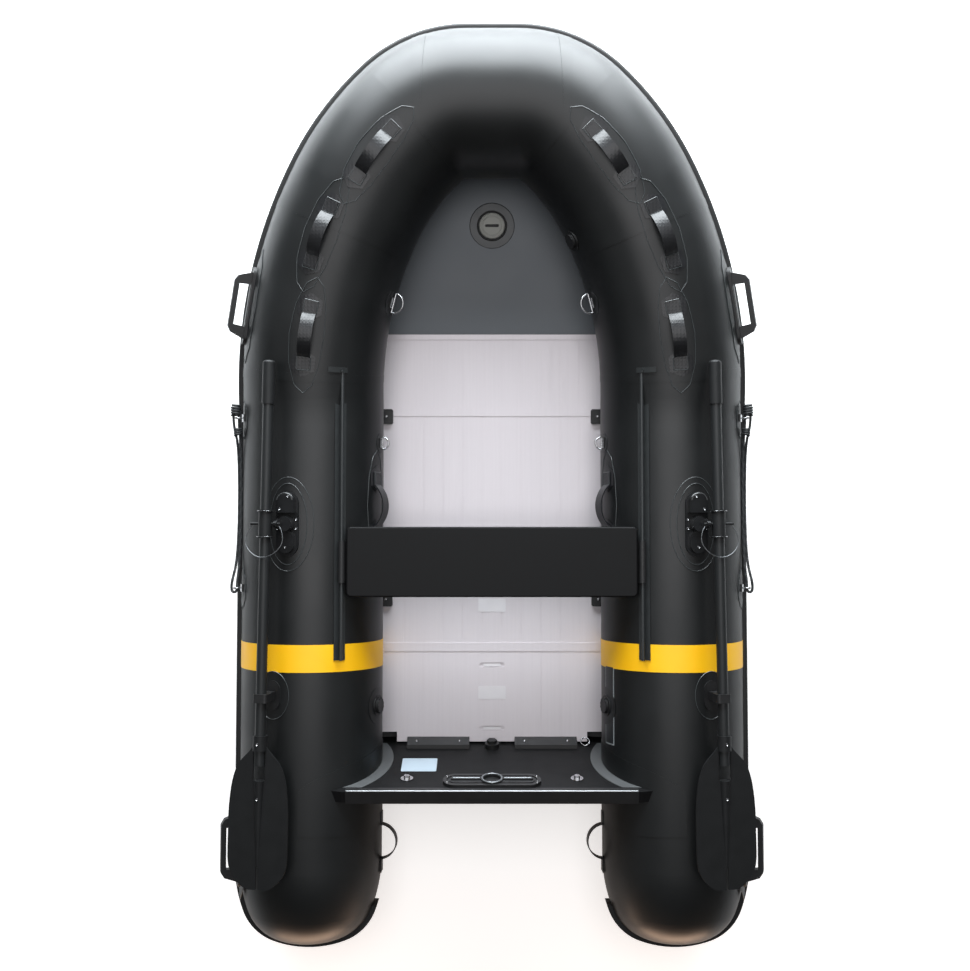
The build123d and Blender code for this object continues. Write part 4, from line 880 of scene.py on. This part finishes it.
# painted shade: a dark sheet on the coin slot's floor
plate(shade_ring_mesh, VALVE @ Matrix.Translation((0, 0, 0.0072)), 0.042, 0.008, 0.0004, 0.0035)
piece_from(shade_ring_mesh, "valve_painted_shade_rings", gap_shade_paint)
KNURLS, KNURL_R, KNURL_RISE = 36, 0.0345, 0.0150
knurl = bmesh.new()
for i in range(KNURLS):
    turn = Matrix.Rotation(2 * pi * i / KNURLS, 4, "Z") @ Matrix.Translation((KNURL_R, 0, KNURL_RISE))
    rod(knurl, VALVE @ turn, 0.0050, 0.0011, 6)
ring(knurl, VALVE @ Matrix.Translation((0, 0, KNURL_RISE)), 0.0295, 0.0010)
piece_from(knurl, "valve_knurl", PAINTS["valve_plastic"])

# %% [markdown]
# ## Oar rivets and pull tongues
# A rivet ties each blade to its shaft. The floor's finger pulls hold a small tongue that lifts the board.

# %% Rivets and tongues
LOCK_NORMAL = Vector((sin(radians(LOCK_ROLL)), 0, cos(radians(LOCK_ROLL))))
LOCK_OUT = Vector((cos(radians(LOCK_ROLL)), 0, -sin(radians(LOCK_ROLL))))
OAR_TOE = radians(0.9)
OAR_MIDDLE = LOCK_PLACE.to_translation() + LOCK_NORMAL * 0.056 + LOCK_OUT * 0.045
OAR_FORE = Vector((0, cos(OAR_TOE), 0)) - LOCK_OUT * sin(OAR_TOE)
OAR_SIDE = LOCK_OUT * cos(OAR_TOE) + Vector((0, sin(OAR_TOE), 0))


def on_oar(fore, side, rise):
    """A place by the starboard oar's shaft: x aside, y forward, z off the blade."""
    turn = Matrix((OAR_SIDE, OAR_FORE, LOCK_NORMAL)).transposed().to_4x4()
    where = OAR_MIDDLE + OAR_FORE * fore + OAR_SIDE * side + LOCK_NORMAL * rise
    return Matrix.Translation(where) @ turn


# each rivet's place fore of the oarlock and above the shaft's middle
RIVETS = ((-0.764, 0.0128), (-0.612, 0.0200))
for body, side in (("starboard_oar", 1), ("port_oar", -1)):
    rivets = bmesh.new()
    for fore, rise in RIVETS:
        pan_head(rivets, on_oar(fore, 0, rise), 0.0036)
    for fore in (-0.036, 0.036):
        ring(rivets, on_oar(fore, 0, 0) @ Matrix.Rotation(pi / 2, 4, "X"), 0.0232, 0.0007, 8, 40)
    bmesh.ops.scale(rivets, verts=rivets.verts, vec=(side, 1, 1))
    piece_from(rivets, body + "_rivets", STEEL, body=body)

PULL_YS = (-0.540, -0.735)
tongues = bmesh.new()
for y in PULL_YS:
    plate(tongues, Matrix.Translation((0, y, FLOOR_TOP - 0.0049)), 0.054, 0.009, 0.0032, 0.002)
piece_from(tongues, "pull_tongues", foil)

# %% [markdown]
# ## Stitching
# Each webbing handle is sewn to its patch through a folded tab. One stitch is a small rod, and a box of
# them follows the tab's edge, four millimetres apart.

# %% Stitches
# thread a little paler than the webbing
THREAD = finish("bonded_thread", "252628", "303134", 5, (0.5, 0.6))
STITCH = 0.0040
STITCH_RISE = 0.0044
STITCH_BOX = (0.026, 0.028)


def stitch_box(mesh, place, long, wide):
    """A rectangle of stitches, long down the strap and wide across it."""
    for length, across, turned in ((long, wide, False), (wide, long, True)):
        count = int(length / STITCH)
        for side in (-0.5, 0.5):
            for i in range(count):
                at = (i + 0.5) / count * length - length / 2
                where = (side * across, at, 0) if turned else (at, side * across, 0)
                turn = Matrix.Rotation(pi / 2 if turned else 0, 4, "Z")
                rod(mesh, place @ Matrix.Translation(where) @ turn, STITCH * 0.72, 0.00045, 6)


stitches = bmesh.new()
for s, roll in STRAPS:
    for tab in (-TAB_MIDDLE, TAB_MIDDLE):
        place = skin_place(s, radians(roll)) @ Matrix.Translation((tab, 0, STITCH_RISE))
        stitch_box(stitches, place, *STITCH_BOX)
mirrored(stitches)
piece_from(stitches, "strap_stitches", THREAD)

# %% [markdown]
# ## Grab ropes
# Each side carries 1.12 m of 8 mm braided polyester. It starts in a knot at the front eye, hangs in a long
# shallow curve to the back eye, folds through it and comes home beside itself. The route is a free cord,
# so it is one NURBS spline, and the braid's strands follow points read from it. Four strands turn one way
# and four the other, weaving over and under by a small change of radius.

# %% Rope route and strands
ROPE_D = 0.008
ROUTE = (
    (0.7530, 0.2407, 0.2883), (0.7530, 0.1937, 0.2883), (0.7500, 0.1527, 0.2765),
    (0.7490, 0.0987, 0.2675), (0.7480, 0.0168, 0.2635), (0.7480, -0.0992, 0.2629),
    (0.7490, -0.1810, 0.2675), (0.7500, -0.2350, 0.2765), (0.7530, -0.2760, 0.2875),
    (0.7530, -0.3050, 0.2875), (0.7681, -0.3050, 0.2930), (0.7681, -0.2760, 0.2930),
    (0.7600, -0.2320, 0.2755), (0.7580, -0.1780, 0.2605), (0.7570, -0.0962, 0.2525),
    (0.7570, 0.0118, 0.2531), (0.7580, 0.0967, 0.2605), (0.7600, 0.1507, 0.2755),
    (0.7681, 0.1934, 0.2938), (0.7681, 0.2404, 0.2938),
)
BRAID_PITCH = 0.022
STRANDS = 8
STRAND_SHARE = 0.165
FINE_STEP = 0.0013


def spline_points(points, name):
    """Points read from the NURBS spline that has those points as its control points."""
    curve = bpy.data.curves.new(name, "CURVE")
    curve.dimensions = "3D"
    curve.resolution_u = 24
    spline = curve.splines.new("NURBS")
    spline.points.add(len(points) - 1)
    for point, place in zip(spline.points, points):
        point.co = (*place, 1.0)
    spline.order_u = 3
    spline.use_endpoint_u = True
    holder = bpy.data.objects.new(name, curve)
    scene.collection.objects.link(holder)
    line = bpy.data.meshes.new_from_object(holder)
    places = [vert.co.copy() for vert in line.vertices]
    bpy.data.objects.remove(holder)
    bpy.data.curves.remove(curve)
    bpy.data.meshes.remove(line)
    return places


def evenly(places, step):
    """Places a fixed distance apart along a chain of points, with the chain's length."""
    out, want, gone = [places[0].copy()], step, 0.0
    for a, b in zip(places, places[1:]):
        span = (b - a).length
        while span and want <= gone + span:
            out.append(a.lerp(b, (want - gone) / span))
            want += step
        gone += span
    return out, gone


def braid(points, radius):
    """The strands' lines round a rope's middle line."""
    fine, _ = evenly(points, FINE_STEP)
    middle = [(a + b) / 2 for a, b in zip(fine, fine[1:])]
    lines = [[] for _ in range(STRANDS)]
    up = Vector((0, 0, 1))
    for i in range(1, len(middle) - 1):
        ahead = (middle[i + 1] - middle[i - 1]).normalized()
        side = up.cross(ahead).normalized()
        up = ahead.cross(side)
        turn = 2 * pi * i * FINE_STEP / BRAID_PITCH
        for k, line in enumerate(lines):
            way = 1 if k % 2 else -1
            a = way * turn + 2 * pi * (k // 2) / (STRANDS / 2)
            reach = radius * (0.66 + 0.09 * way * cos(STRANDS / 2 * turn))
            line.append(middle[i] + side * cos(a) * reach + up * sin(a) * reach)
    return lines


rope_middle = spline_points(ROUTE, "rope_line")
rope_fine, rope_measured = evenly(rope_middle, 0.004)


# %% Ropes and knots
def helix(start, end, radius, turns, steps=16):
    """Points that wind round the line from start to end."""
    ahead = (end - start).normalized()
    side = ahead.orthogonal().normalized()
    up = ahead.cross(side)
    count = int(turns * steps)
    return [
        start.lerp(end, i / count) + (side * cos(2 * pi * i / steps) + up * sin(2 * pi * i / steps)) * radius
        for i in range(count + 1)
    ]


def on_side(line, side):
    """A chain of points on the starboard side, or its mirror image for side -1."""
    return [Vector((place.x * side, place.y, place.z)) for place in line]


# the knot at the eye and the lashing behind it: start, end, radius and turns
KNOTS = (
    helix(Vector((0.7606, 0.2180, 0.2912)), Vector((0.7606, 0.2480, 0.2912)), 0.0125, 4),
    helix(Vector((0.7556, 0.1600, 0.2786)), Vector((0.7568, 0.1800, 0.2836)), 0.0100, 3),
)
KNOT_WIRE = 0.0036
for side, name in ((1, "starboard"), (-1, "port")):
    laid = [on_side(line, side) for line in braid(rope_middle, ROPE_D / 2)]
    strands = thread_mesh(laid, ROPE_D * STRAND_SHARE, name + "_rope")
    wraps = thread_mesh([on_side(line, side) for line in KNOTS], KNOT_WIRE, name + "_knots", 2)
    for made, label in ((strands, "grab_rope_braid"), (wraps, "grab_rope_knots")):
        mesh = bmesh.new()
        mesh.from_mesh(made)
        bpy.data.meshes.remove(made)
        piece_from(mesh, f"{name}_{label}", PAINTS["rope"])
    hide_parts(name + "_grab_rope")
